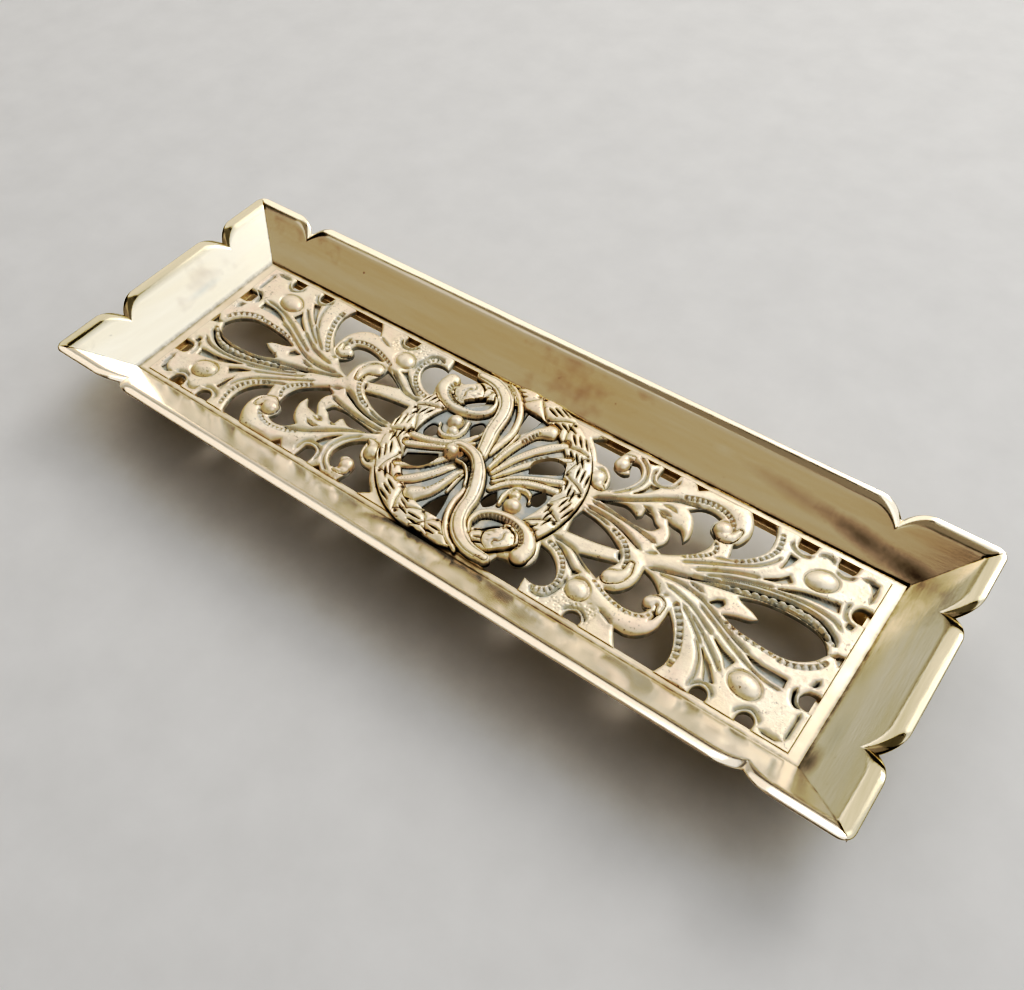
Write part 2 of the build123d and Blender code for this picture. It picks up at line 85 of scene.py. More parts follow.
# Openings of the panel: closed outlines of smooth curves. Each curve ends where the next one starts.
OPENINGS = [
    [[(23.6, 18.3), (21.2, 21.4)], [(18.4, 24)], [(21.8, 26.6)], [(28.3, 26.6), (27.8, 24.6), (27.2, 22.4),
     (27.5, 20.2), (29.2, 18.5), (31.3, 18.3), (32.5, 19.4), (31.8, 20.9)], [(31.1, 23.1), (32.7, 23.4),
     (34.6, 21.8), (35.5, 19.4), (34.8, 16.2), (33, 13.4)], [(30.3, 11.3), (30, 13.8), (28.7, 16.5),
     (26.4, 18.1)]],
    [[(73.1, 2.3), (76, 3.6), (80, 4.7), (85, 5.1), (90, 4.8), (93.5, 3.8), (95.5, 1.8)], [(96.3, 0.2),
     (95, -2.2), (93, -4.2), (90, -5.8), (85.5, -6.3), (80, -5.9), (76, -5.3)], [(72.4, -4), (75, -2.9),
     (78.3, -1.9)], [(79.8, -0.5), (77.8, 0.6), (75.2, 1.4)]],
    [[(63.9, 26.6), (65.6, 24.2), (66.8, 21.2), (66.9, 18.4), (65.9, 15.6)], [(64.9, 14.6), (65.5, 12.6)],
     [(65.8, 10.8), (68.8, 12.8), (71.2, 15.6), (72.4, 18.8), (72.2, 22.2), (71.2, 25.2)], [(70, 26.6)]],
    [[(61.9, -10.4), (64.2, -13), (66.4, -16.3), (67.9, -20), (68, -23.2)], [(66.8, -26.6)], [(57.4, -26.6),
     (55.8, -24.6)], [(54, -21.8), (57, -21.7), (60, -19.9), (61.8, -17), (62.2, -13.6)]],
    [[(51.2, -3.8), (54.4, -5.2)], [(57.6, -7.7), (55.9, -9.1), (55.2, -11), (56.1, -12.7)], [(57.6, -13.2),
     (56.6, -14.8), (53.4, -15.6), (49.8, -15.2)], [(46.4, -14.2), (49, -13), (51, -10.2), (51.6, -7)]],
    [[(29.2, 2.6), (33.5, 2.1), (38.2, 0.6)], [(43.2, -2.3), (37, -3.8)], [(29.6, -4.9), (28.8, -1)]],
    [[(35.8, -8.9), (40, -7.5)], [(45, -5.7), (43.8, -8.4), (43.2, -10.6)], [(43.2, -12.5), (39.4, -10.9)]],
    [[(30.3, 8), (33.8, 9.2), (37.2, 10.2), (39.4, 9.7)], [(41.2, 8.7), (42.1, 9.8)], [(42, 11.6),
     (44.2, 11.2), (46, 9.6)], [(47.5, 8.9), (46.4, 7.2), (43.4, 6.5), (38.5, 6.9)]],
    [[(48.3, 12), (50.2, 11.5), (52.2, 11.2), (53.5, 9.9)], [(54.5, 8.5), (55.1, 10.6), (54.3, 14),
     (52.6, 16.7)], [(50.7, 18), (53.2, 20.2), (56, 20.8)], [(58.7, 20.2), (57.6, 18.2), (58.1, 15.8)],
     [(60.2, 14.3), (60.3, 11), (58.6, 7.4), (55.6, 4.7)], [(52.2, 2.4)], [(49.9, 3.6), (51.2, 5.8),
     (50.9, 8.6)]],
    [[(38.9, 26.6), (38.9, 23.8), (39.4, 22), (41, 21.2), (42.7, 22), (43.1, 23.8)], [(43.4, 26.6)]],
    [[(48.3, 26.6)], [(49.8, 24.6)], [(51.9, 26.6)]],
    [[(33.6, 26.6)], [(35.2, 25.3)], [(37, 26.6)]],
    [[(26.8, -12), (29.6, -12.6), (32.6, -14.6), (34.7, -17.2), (35.2, -19.6), (33.9, -21.8), (31.4, -22.6)],
     [(29, -22.2), (29.3, -24.4)], [(29.8, -26.6)], [(18.8, -26.6), (19.4, -24)], [(20.2, -21.4),
     (22.4, -20.7), (25, -21), (27.6, -19.4), (28.3, -16.6)]],
]

# Round-ended bites: x, side, half width, depth in the long edges; y, half width, depth in the short ones.
EDGE_BITES = [(79.5, 1, 2.2, 3.4), (90, 1, 2.3, 3.5), (78, -1, 1.9, 3), (89.2, -1, 2, 3.4),
              (44.6, -1, 2.1, 3)]
END_BITES = [(14, 2.1, 3.8), (-12.8, 2.3, 3.8)]

# Chased lines: width, depth and the lines of that size.
LINES = [
    (0.7, 0.9, [[(28.8, 7), (33, 9.4), (38, 12.4), (43, 16.1), (47, 18.7), (50.7, 20), (53.4, 20.4)]]),
    (0.5, 0.6, [
        [(44.2, 15.1), (46.2, 15.7), (48.2, 15.4), (49.4, 14.6)],
        [(28.6, -9.4), (31, -9.8), (34, -11.6), (37, -13.6), (39, -14)],
        [(59.4, -16.4), (60, -13), (59.2, -9.9), (57.7, -8.7), (56.6, -9)],
    ]),
    (0.4, 0.5, [[(44.4, 13.2), (46.6, 13.4), (49, 13.2)]]),
    (0.6, 0.7, [
        [(40.5, 12.2), (42.4, 12.2), (44.4, 11.4)],
        [(42.9, -2.2), (44.3, -4), (45.2, -5.8)],
        [(96.3, 0.1), (98.2, 0.9), (99.8, 1.9)],
    ]),
    (0.5, 0.5, [
        [(48.3, 12), (46.5, 12.6), (44.6, 12.8)],
        [(48.1, 0.2), (50, 1.3), (52.2, 2.4)],
        [(98.1, 23.9), (98.3, 20), (98.2, 17.4)],
        [(98.1, 23.9), (96, 23.9), (93.4, 23.5)],
        [(98.2, -15.8), (98.3, -20), (98.2, -24.9)],
        [(98.2, -24.9), (95, -25.1), (92, -25)],
        [(37.2, -15.8), (37.6, -18.4), (37.2, -21), (36, -23.8), (33.6, -24.6), (31, -23.8)],
        [(27, -8), (31, -8.2), (34, -8.6), (38, -10.8), (42, -12.9)],
        [(60.9, 14.6), (63.2, 14.8), (64.9, 14.6)],
        [(24, 16), (26, 16.4), (28, 15.2)],
    ]),
    (0.6, 0.6, [[(29, 6.4), (34, 6.4), (39, 6.1), (44, 5.5), (47.4, 4.8), (50, 4.1)]]),
    (0.7, 0.8, [
        [(28.9, 4.5), (33, 4.5), (37, 4.1), (41, 3.1), (44, 1.9), (46.5, 0.9), (48.1, 0.2)],
        [(51.2, -3.2), (54, -2), (58, -0.5), (62, 0.8), (66, 1.9), (70, 2.9), (73.4, 3.7), (77, 4.9),
         (81, 5.6), (85, 5.9), (89, 5.7), (93, 4.7), (95.6, 2.9)],
        [(60, 0.5), (64, 2.2), (68, 3.9), (72, 5.3), (76, 6.5), (80, 7.5), (84, 8.2), (88, 8.3), (91, 7.8),
         (94, 6.4), (96.4, 4.4), (97.3, 2.9)],
    ]),
    (0.4, 0.4, [
        [(29, 3.4), (34, 3.2), (38, 2.2)],
        [(53.6, -3), (60, -2.2), (66, -3), (72, -5.6), (78, -8.4), (83, -10.1)],
        [(61, -0.5), (64, -0.9), (66.6, -1.6)],
        [(41.6, -25.6), (42, -23.6), (44.6, -22.2), (47.2, -23.6), (47.6, -25.6)],
        [(37.8, 25.6), (37.7, 23), (38.6, 21), (41, 20.1), (43.4, 21), (44.3, 23), (44.4, 25.6)],
        [(60.3, -7), (57.6, -7.7)],
        [(31.4, 25.8), (33.2, 25), (35.8, 22.8), (37, 19.4), (36.2, 15.8), (34, 12.8), (31.6, 10.6)],
    ]),
    (0.3, 0.3, [
        [(56.4, 2.6), (60, 4.8), (64, 7.2), (68, 9.5), (72, 12.2), (75, 15.6), (76.4, 19)],
        [(60, 2.6), (64, 5), (69, 7.7), (75.4, 10.4)],
        [(63, 2.9), (68, 5.6), (74, 8), (79.3, 9.7)],
    ]),
    (0.3, 0.25, [
        [(66, 3.9), (72, 6.7), (80, 8.9), (88, 9.8), (94, 9), (97, 7)],
        [(62, 8.4), (66.4, 10.2), (70.4, 12.6)],
        [(66, -4.4), (72, -7.2), (78, -10.2), (83, -12.4), (88, -13.8), (93, -14.2)],
        [(66, -8), (71, -11.2), (76, -15), (80, -18.4)],
        [(70, -12.6), (73.4, -17), (75, -22), (75, -26)],
        [(86.2, -25.6), (86.6, -23.4), (89.2, -21.7), (91.8, -23.4), (92, -25)],
        [(75.3, -25.6), (75.8, -23.4), (78, -22), (80.3, -23.4), (80.8, -25.6)],
    ]),
    (0.4, 0.35, [
        [(57, -4.5), (62, -5.3), (66, -6.4), (70, -8.6), (74, -10.7)],
        [(63, -6.9), (67, -9.6), (70.4, -12.4), (73, -14.8)],
        [(47.6, -19.4), (50, -20.2), (54, -21.8)],
    ]),
    (0.8, 0.8, [[(94.9, -10.6), (94.8, -12.6), (95.8, -14.8), (98.2, -15.8)]]),
    (0.9, 0.6, [[(98.2, -6), (97.8, -8), (96.3, -9.6)]]),
    (0.4, 0.3, [
        [(95.1, 16.6), (94.6, 14.2), (95.4, 11.6), (97.4, 10.4)],
        [(82.6, 23), (83.4, 24.4), (85, 24.9), (86.7, 24.2), (87.4, 22.8)],
        [(87.4, 22.8), (90, 21.4), (92.6, 22.6), (93.4, 23.5)],
        [(75.8, 25.2), (76.6, 22.8), (79.5, 21.6), (82.6, 23)],
    ]),
]

# Hollows of the relief that do not go through, drawn like the openings.
HOLLOWS = [
    [[(37, 14.2), (38.4, 16.6)], [(39, 19.3)], [(41.3, 19.4), (39.6, 16.6)]],
    [[(82, -10.2), (86, -10.8)], [(92, -10.8)], [(92.2, -12.9), (88, -12.7), (84.5, -11.7)]],
    [[(74, -10.7), (77.3, -12.4)], [(80.5, -13.5)], [(79.6, -15.9), (78, -13.8)]],
    [[(73, -14.8), (76.5, -17.8)], [(79.2, -21)], [(77.3, -21.6), (76, -18.8)]],
    [[(77.3, 20.3)], [(79.1, 20.1), (78.3, 17.4)], [(77.2, 15.3), (77.5, 18)]],
    [[(75.4, 10.4), (78.2, 12.6)], [(79.8, 14.5)], [(81.1, 13.2), (78.6, 11.6)]],
    [[(79.3, 9.7), (84.5, 12.2)], [(92.9, 14.1)], [(93.5, 12), (86.5, 11.5)]],
    [[(68.2, -2.8), (69.4, -1.4)], [(70.6, -0.8), (71.3, -1.6)], [(70.5, -2.9)]],
    [[(98.3, 0.7)], [(99.8, 1.6)], [(99.8, -1)]],
    [[(36.6, -13.4)], [(39.1, -13.9)], [(38, -15)]],
    [[(98, 23.8)], [(95.8, 23.8), (97.2, 22.6)], [(98, 21)]],
    [[(96.6, 10.6)], [(98, 10.4), (97.6, 9.2)], [(96.6, 9.4)]],
]

# Sunk channels with rows of beads: width, bead spacing and the points along the middle.
BEAD_ROWS = [
    (1.3, 1.35, [(48.4, 20.6), (51, 21.7), (54, 22.5), (57, 22.6), (59.6, 21.9), (61.6, 20.4), (62.7, 18.4)]),
    (1.3, 1.5, [(39, 1.8), (42, 0.6), (44.4, -1.3), (46.2, -3.8), (47, -6.6), (46.8, -9)]),
    (1.1, 1.3, [(61.3, 12.6), (62.3, 11), (61.6, 8.8), (59.6, 6.7), (56.8, 4.6)]),
    (1.6, 1.75, [(62.4, -8.2), (64.5, -10.6), (66.4, -13.3), (68, -16.6), (69.1, -19.8), (69.2, -22.6)]),
    (1.6, 2.15, [(70.6, 4), (74, 5.2), (78, 6.3), (82, 7), (86, 7.3), (90, 6.8), (93.4, 5.4), (96.4, 3.4)]),
    (1, 2, [(74, -5.6), (78, -6.5), (82, -7), (87, -7.2)]),
    (1.5, 1.7, [(88.4, -7.4), (91.4, -6.9), (94.2, -5.5), (96.3, -3.6), (97, -2.2)]),
    (1.3, 1.5, [(67.6, 10.8), (70.6, 12.9), (73, 15.8), (74.2, 19), (74, 22), (73.3, 24.2)]),
    (0.9, 1.5, [(43.4, -13.9), (47, -15.5), (51, -16.6), (55, -16.7), (57.8, -15.6), (59.4, -13)]),
    (1.3, 1.4, [(28.2, -10.4), (31.4, -11.3), (34.2, -13.7), (35.9, -17), (36.2, -20.4), (34.6, -23),
     (32, -23.6)]),
]

# Scroll eyes and cabochons: x, y, long and short half axis, turn in degrees, height, side of the moat with
# its painted shadow.
EYES = [
    (60.6, 17.5, 2.4, 2.3, 0, 1.4, 130),
    (29.3, 20.9, 2, 2.3, 0, 1.3, 0),
    (26.6, 13.4, 2.2, 2.6, 0, 1.5, 60),
    (41.4, -18, 3.1, 2.7, -20, 1.3, None),
    (86.7, 17.5, 3.8, 2.9, 22, 1.3, None),
    (85.2, -17.4, 3.9, 2.9, -14, 1.3, None),
]

# Rounded ends of the scrolls, raised over the panel: x, y and width.
CLUBS = [
    [(47.9, -4.8, 1.6), (48.2, -7.4, 2.6), (47.2, -9.4, 3.8), (45.6, -10.5, 4.4)],
    [(60.2, -12.6, 1.2), (59.6, -10.4, 2), (58.2, -9.9, 2.8), (57, -11, 3.4)],
    [(64.4, 18.6, 1.6), (63.6, 16.4, 2.6), (61.8, 15.7, 3.6), (60.6, 17.2, 4.6)],
    [(30.6, 23.9, 1.4), (29, 23, 2.6), (29.3, 21.2, 4)],
    [(29.6, 11, 1.2), (28.4, 11.4, 2.6), (26.8, 13, 4.6)],
]

# Broad swells under the scrolls: height, then x, y and width along the middle.
SWELLS = [
    (0.7, [(30, 8.6, 2), (38, 15, 5), (45, 20.6, 7), (52, 24, 6), (59.5, 24.6, 6), (64.2, 21.6, 6),
     (64.6, 17.6, 5), (62, 15.8, 3)]),
    (0.6, [(31.2, 10.4, 3), (35, 13.6, 5), (37, 18, 5), (36.2, 22.4, 5), (32.6, 25, 5), (29.4, 23.8, 4)]),
    (0.5, [(33, 9.9, 2), (40, 13, 5), (46, 15, 7), (50.6, 15.2, 7), (53.4, 12, 4)]),
    (0.6, [(43, -0.4, 4), (48.4, -3, 5), (49.6, -7.6, 5), (47.2, -12, 5)]),
    (0.6, [(40, -13.4, 4), (48, -17.8, 6), (55, -19, 7), (59.8, -16.2, 6), (60.8, -11.4, 5),
     (58.6, -8.6, 3)]),
    (0.4, [(50.6, -0.6, 5), (56, 2.4, 6), (62, 6.6, 6), (69, 9.8, 6), (76, 16.6, 6)]),
    (0.4, [(53.6, -3.4, 3), (62, -6, 5), (68.6, -11.6, 6), (72.6, -18.6, 6), (73, -25, 6)]),
]

# A patch of ground with punched dots: centre x and y, half width and half depth.
PUNCHED_GROUND = (42, -22.6, 7, 3)

# The wreath medallion, drawn the same way.
WREATH_OPENINGS = [
    [[(18.6, 8.5), (15, 6.2)], [(11.7, 4.2), (10.6, 6.5), (11.6, 9.2), (13.8, 11.4), (16.5, 12.1)],
     [(18.6, 11)]],
    [[(18.4, 1.9), (20.1, -0.6), (19.4, -3.6), (17.2, -3.4), (16.6, -1)]],
    [[(8.3, -5.4), (10.3, -8.6), (8.5, -11.2), (7, -10.2), (7.2, -7.6)]],
    [[(12.2, -18.9), (12.4, -17.4), (14, -15.4), (15.8, -14)], [(17.3, -13.9), (16, -15.6), (14, -17.6)]],
    [[(-0.6, 21.4), (0.1, 17)], [(1.3, 13), (2.7, 15.4), (3.7, 18.4)], [(4, 21)]],
]
# Strands of the fan: height, then x, y and width along each.
WREATH_STRANDS = [
    (0.8, [(1.6, 3, 0.8), (2, 8, 1), (1.8, 13, 0.8)]),
    (0.9, [(3.8, -1.6, 1.2), (5.6, 4.5, 1.9), (8.3, 10, 2.4), (11.6, 14.4, 2.8), (14.4, 17, 2.4)]),
    (0.9, [(5, -2.6, 1), (8, 2.9, 1.7), (11, 7.4, 2), (14.6, 11.2, 2), (18.2, 13.4, 2)]),
    (0.9, [(5.8, -3.8, 1.2), (9.6, 0.2, 1.8), (14.5, 3.2, 2.2), (20.6, 6.2, 2.4)]),
    (1, [(6.6, -6.2, 1.4), (8.6, -2.9, 1.9), (12.4, 0.1, 2.2), (16.6, 1.9, 2.4), (21, 2.9, 2.4)]),
    (1.6, [(2.6, -1, 1.4), (2.9, 5, 1.9), (4, 11, 2.3), (5.6, 15.8, 3.2), (8.4, 18.6, 5)]),
    (1.1, [(11.4, -8.8, 1), (10.9, -5.6, 1.5), (12.1, -2.6, 1.7), (14.8, -1.5, 1.6), (17, -2.7, 1.2),
     (17.6, -4.4, 0.7)]),
]
# Eyes inside the ring: x, y, radius and height. Drilled rows: width, spacing and points.
INNER_EYES = [(13.3, -4.2, 1.6, 1.2), (14.6, -7.2, 2.3, 1.9)]
DRILLED = [(0.9, 1.3, [(7, 3.6), (9.4, 7.6), (12.4, 11.2)]), (0.8, 1.1, [(4.6, 11.2), (5.6, 14), (6.6, 16)])]
# The S scroll on top, the one that passes under it, and the thin strands beside them: x, y and width.
CROSSING = [(-10.2, -1.2, 2), (-8.6, 0.9, 2.4), (-5.5, 1.1, 2.8), (-2.3, -0.1, 3.2), (0.5, -2.7, 3.8),
            (2.6, -6, 4.2), (4.1, -9.1, 4.2), (5, -12, 4), (5.4, -15.4, 4), (6.7, -19.2, 4.2),
            (9.6, -22.5, 4.2), (13.6, -24.4, 3.6), (18.8, -24.6, 2.8)]
UNDERPASS = [(-1.7, 1.2, 3.4), (-3, 5.4, 3.8), (-4.3, 9.4, 4.1), (-4.8, 12.4, 4.2), (-5.4, 16, 4.2),
             (-7, 19.8, 4.2), (-9.9, 22.7, 4.2), (-13.8, 24.5, 3.8), (-18.8, 24.6, 2.8)]
STRANDS = [
    [(1.2, -6.8, 0.9), (1.7, -10.6, 1.5), (1.8, -15, 1.6), (3.3, -19.8, 1.6), (6.5, -24, 1.4),
     (11, -26.6, 1)],
    [(-0.5, 3.2, 1.6), (-0.1, 7.2, 1.9), (0.3, 12.5, 2), (-0.9, 17.2, 1.9), (-3.2, 21.2, 1.8),
     (-6.6, 24.8, 1.5), (-10, 26.6, 1)],
]
# The free neck and head of the upper scroll; the eye is x, y and radius.
NECK_LIP = [(-6.2, -3.4, 0.8), (-3.4, -3.6, 0.9), (-0.9, -5.8, 0.9), (0.9, -9, 1)]
NECK_BEADS = [(-6, -1.4), (-3.4, -2), (-1, -4.2), (0.9, -7), (1.9, -9.4)]
CROSSING_EYE = (-8.7, -2.2, 2.1)
# The volutes, and the small flowers in them: x, y and radius, then cuts with width, depth and points.
VOLUTE = [(10.4, -20.4, 1.2), (9, -17.6, 1.6), (9.3, -14.6, 2.2), (11.5, -12.4, 2.6), (15.4, -11.2, 2.9),
          (19.6, -11.3, 3.3), (23, -12.9, 3.9), (25.1, -15.8, 4.5), (24.9, -18.8, 4.9)]
VOLUTE_BEADS = [(9.9, -17.4), (10.3, -15), (12.1, -13.2), (15.5, -12.1), (19.2, -12.2), (21.9, -13.6),
                (23.4, -16), (23.2, -18)]
ROSETTE = (18, -17.9, 4.3)
ROSETTE_CUTS = [
    (0.6, 0.5, [(19, -14.2), (18.3, -15.8), (18.8, -17), (18.4, -18.4), (17.4, -18.9), (17.4, -20),
     (18.4, -20.6)]),
    (0.5, 0.5, [(15.2, -17.2), (16.9, -16.6)]),
    (0.5, 0.5, [(14.6, -18.6), (16.3, -18.1)]),
    (0.5, 0.5, [(15.4, -20), (16.5, -19.8)]),
    (0.5, 0.5, [(15, -21.6), (15.9, -21.1)]),
    (0.6, 0.5, [(20.4, -14.9), (20.8, -16.2)]),
    (0.4, 0.4, [(19.8, -17.6), (20.3, -17.8)]),
]
# Laurel: where the leaves meet the ring's outer and inner edge, down the right branch, in degrees.
LEAF_OUTER = (90, 64, 37.6, 12, -11, -40, -70, -96)
LEAF_INNER = (77, 52, 25.5, -3, -25.5, -56, -82)
# Radii of the ring, where it is cut flat beside the walls, and the round hole of the panel under it.
WREATH_OUTER, WREATH_INNER, WREATH_FLAT = 28.2, 21.4, 27.5
SEAT_RADIUS = 23.6


# ---- Relief: a height field with a true outline, worked out in millimetres ----

FAR = 9.0
TINY = 1e-9

# Chased lines (mm): how far they reach, how long their ends are, and how far their sides lean outwards.
LINE_REACH, LINE_END, LEAST_END = 2.5, 1.6, 0.1
LINE_SIDE, LINE_END_RISE = 0.15, 1.2
# Painted shade in the chased lines: its tone for a shallow line, and how much more for each unit of depth.
SHALLOW_TONE, TONE_PER_DEPTH = 0.22, 0.95
BLOOM_OFFSET, BLOOM_SPREAD = 0.3, 0.35
HOLLOW_DEPTH, HOLLOW_REACH = 0.7, 1.5
SWELL_REACH, LEAST_WIDTH = 5.0, 0.1


def curve(points, spacing=0.35):
    """A smooth line through the points (centripetal Catmull-Rom), in steps of about spacing.

    Columns after x and y, such as a width, are carried along.
    """
    p = np.array(points, float)
    if len(p) == 2:
        count = max(2, int(np.hypot(*(p[1] - p[0])[:2]) / spacing))
        return p[0] + (p[1] - p[0]) * np.linspace(0, 1, count + 1)[:, None]
    ends = np.vstack([2 * p[0] - p[1], p, 2 * p[-1] - p[-2]])
    pieces = []
    for i in range(1, len(ends) - 2):
        a, b, c, d = ends[i - 1:i + 3]
        k1, k2, k3 = (max(math.sqrt(np.hypot(*(v - u)[:2])), TINY) for u, v in ((a, b), (b, c), (c, d)))
        m1 = k2 * ((b - a) / k1 - (c - a) / (k1 + k2) + (c - b) / k2)
        m2 = k2 * ((c - b) / k2 - (d - b) / (k2 + k3) + (d - c) / k3)
        count = max(3, int(np.hypot(*(c - b)[:2]) / spacing))
        t = np.linspace(0, 1, count, endpoint=False)[:, None]
        pieces.append((2 * t ** 3 - 3 * t ** 2 + 1) * b + (t ** 3 - 2 * t ** 2 + t) * m1
                      + (3 * t ** 2 - 2 * t ** 3) * c + (t ** 3 - t ** 2) * m2)
    pieces.append(p[-1:])
    return np.vstack(pieces)


def closed(curves, turn):
    """The closed outline that the curves make, as one polygon. Each ends where the next one starts."""
    following = curves[1:] + curves[:1]
    return np.vstack([curve(c + after[:1])[:-1] for c, after in zip(curves, following)]) * turn


def turned(points, turn):
    """The points of a path, turned by 180 degrees if turn is -1. Widths stay."""
    p = np.array(points, float)
    p[:, :2] *= turn
    return p


def falloff(gap, width, top=1.0):
    """top where gap is nothing, 1 less at each width from there, and never below 0 or above 1."""
    return np.clip(top - gap / width, 0, 1)


def groove(share):
    """A parabola: 1 in the middle, nothing at a share of 1."""
    return np.clip(1 - share ** 2, 0, 1)


def arch(share):
    """A half circle: 1 in the middle, nothing at a share of 1."""
    return np.sqrt(groove(share))


class Relief:
    """A grid over a plan, with what each cell holds.

    solid is the distance to the outline, positive inside the metal, and edge the distance to the nearest line
    or outline. cut and lift are depths and rises. The darkening field is how much grime and painted shade
    there is, and bloom how much pale bloom there is.
    """

    def __init__(self, low, high, step):
        xs = np.arange(low[0], high[0] + step / 2, step)
        ys = np.arange(low[1], high[1] + step / 2, step)
        self.low, self.step = low, step
        self.x, self.y = np.meshgrid(xs, ys, indexing="ij")
        self.solid, self.edge = (np.full(self.x.shape, FAR) for _ in range(2))
        self.cut, self.lift, self.dark, self.bloom = (np.zeros(self.x.shape) for _ in range(4))

    # Adds grime and painted shade: darkening in lines, hollows and at edges, where shade falls.
    def darken(self, where, values):
        self.dark[where] = np.maximum(self.dark[where], values)

    def whiten(self, where, values):
        self.bloom[where] = np.maximum(self.bloom[where], values)

    def window(self, low, high):
        """The slices of the grid that cover a box."""
        out = []
        for axis in (0, 1):
            first = int((low[axis] - self.low[axis]) / self.step) - 1
            last = int((high[axis] - self.low[axis]) / self.step) + 2
            size = self.x.shape[axis]
            out.append(slice(min(max(first, 0), size), min(max(last, 0), size)))
        return tuple(out)

    def near(self, path, reach, chunk=10):
        """For the cells within reach of a path: their window, and the distance to its nearest point, how far
        along the path that point is, and the path's width there."""
        path = np.asarray(path, float)
        points = path[:, :2]
        widths = path[:, 2] if path.shape[1] > 2 else np.zeros(len(path))
        whole = self.window(points.min(0) - reach, points.max(0) + reach)
        distance = np.full(self.x[whole].shape, reach)
        along = np.zeros(distance.shape)
        width = np.zeros(distance.shape)
        run = np.concatenate([[0], np.cumsum(np.hypot(*np.diff(points, axis=0).T))])
        for i in range(0, len(points) - 1, chunk):
            a, b = points[i:i + chunk], points[i + 1:i + chunk + 1]
            a = a[:len(b)]
            part = self.window(np.minimum(a, b).min(0) - reach, np.maximum(a, b).max(0) + reach)
            if part[0].stop <= part[0].start or part[1].stop <= part[1].start:
                continue
            rel = tuple(slice(s.start - w.start, s.stop - w.start) for s, w in zip(part, whole))
            step = b - a
            length = np.hypot(step[:, 0], step[:, 1]) + TINY
            qx = self.x[part][..., None] - a[:, 0]
            qy = self.y[part][..., None] - a[:, 1]
            t = np.clip((qx * step[:, 0] + qy * step[:, 1]) / length ** 2, 0, 1)
            gap = np.hypot(qx - t * step[:, 0], qy - t * step[:, 1])
            best = gap.argmin(-1)[..., None]
            gap = np.take_along_axis(gap, best, -1)[..., 0]
            t = np.take_along_axis(t, best, -1)[..., 0]
            best = best[..., 0]
            nearer = gap < distance[rel]
            distance[rel] = np.where(nearer, gap, distance[rel])
            along[rel] = np.where(nearer, run[i + best] + t * length[best], along[rel])
            wide = widths[i + best] * (1 - t) + widths[i + 1 + best] * t
            width[rel] = np.where(nearer, wide, width[rel])
        return whole, distance, along, width

    def signed(self, polygon, reach=3.0):
        """Window and signed distance to a closed polygon, positive inside it."""
        ring = np.vstack([polygon, polygon[:1]])
        where, distance, _, _ = self.near(ring, reach)
        x, y = self.x[where], self.y[where]
        inside = np.zeros(x.shape, bool)
        for (x1, y1), (x2, y2) in zip(ring[:-1], ring[1:]):
            if y1 != y2:
                crosses = (y1 > y) != (y2 > y)
                inside ^= crosses & (x < (x2 - x1) * (y - y1) / (y2 - y1) + x1)
        return where, np.where(inside, distance, -distance)

    def open(self, polygon):
        """Cuts a polygon out of the metal."""
        where, distance = self.signed(polygon)
        self.solid[where] = np.minimum(self.solid[where], -distance)

    def engrave(self, width, depth, path):
        """A chased line that fades at both ends."""
        where, distance, along, _ = self.near(curve(path), LINE_REACH)
        length = along.max() + TINY
        fade = np.clip(np.minimum(along, length - along) / LINE_END, LEAST_END, 1)
        half = width / 2 * fade
        rise = np.maximum(distance - half, 0) + (1 - fade) * LINE_END_RISE
        self.edge[where] = np.minimum(self.edge[where], rise)
        cut = depth * fade * groove(distance / (half + LINE_SIDE))
        self.cut[where] = np.maximum(self.cut[where], cut)
        # Painted shade along the line, darker the deeper it is.
        tone = min(1, SHALLOW_TONE + TONE_PER_DEPTH * depth) * np.sqrt(fade)
        self.darken(where, tone * falloff(1.2 * distance, half + 0.06, 1.3))
        self.whiten(where, 0.6 * fade * falloff(np.abs(distance - half - BLOOM_OFFSET), BLOOM_SPREAD))

    def hollow(self, polygon):
        """A flat-bottomed recess with a rim of painted shade and a pale floor."""
        where, distance = self.signed(polygon, HOLLOW_REACH)
        self.edge[where] = np.minimum(self.edge[where], np.maximum(-distance, 0))
        self.cut[where] = np.maximum(self.cut[where], HOLLOW_DEPTH * np.clip(distance / 0.25 + 0.3, 0, 1))
        self.darken(where, 0.85 * falloff(np.abs(distance), 0.24, 1.1))
        self.whiten(where, np.clip(distance / 0.3, 0, 1))

    def swell(self, height, path):
        """A broad soft rise along a path, as wide as the path says."""
        where, distance, _, width = self.near(curve(path), SWELL_REACH)
        rise = height * groove(2 * distance / np.maximum(width, LEAST_WIDTH))
        self.lift[where] = np.maximum(self.lift[where], rise)


def smooth(values, times):
    """Averages each cell with its four neighbours, again and again."""
    for _ in range(times):
        near = np.pad(values, 1, mode="edge")
        values = (near[:-2, 1:-1] + near[2:, 1:-1] + near[1:-1, :-2] + near[1:-1, 2:] + near[1:-1, 1:-1]) / 5
    return values


def pillow(distance, radius, height):
    """A rounded shoulder: nothing at the edge, height from radius inwards."""
    return height * arch(1 - np.clip(distance / radius, 0, 1))


# Beads: the channel's depth, half a pearl's length as a share of the spacing, and its width in the channel.
BEAD_DEPTH, PEARL_LENGTH, PEARL_WIDTH = 0.75, 0.42, 0.9


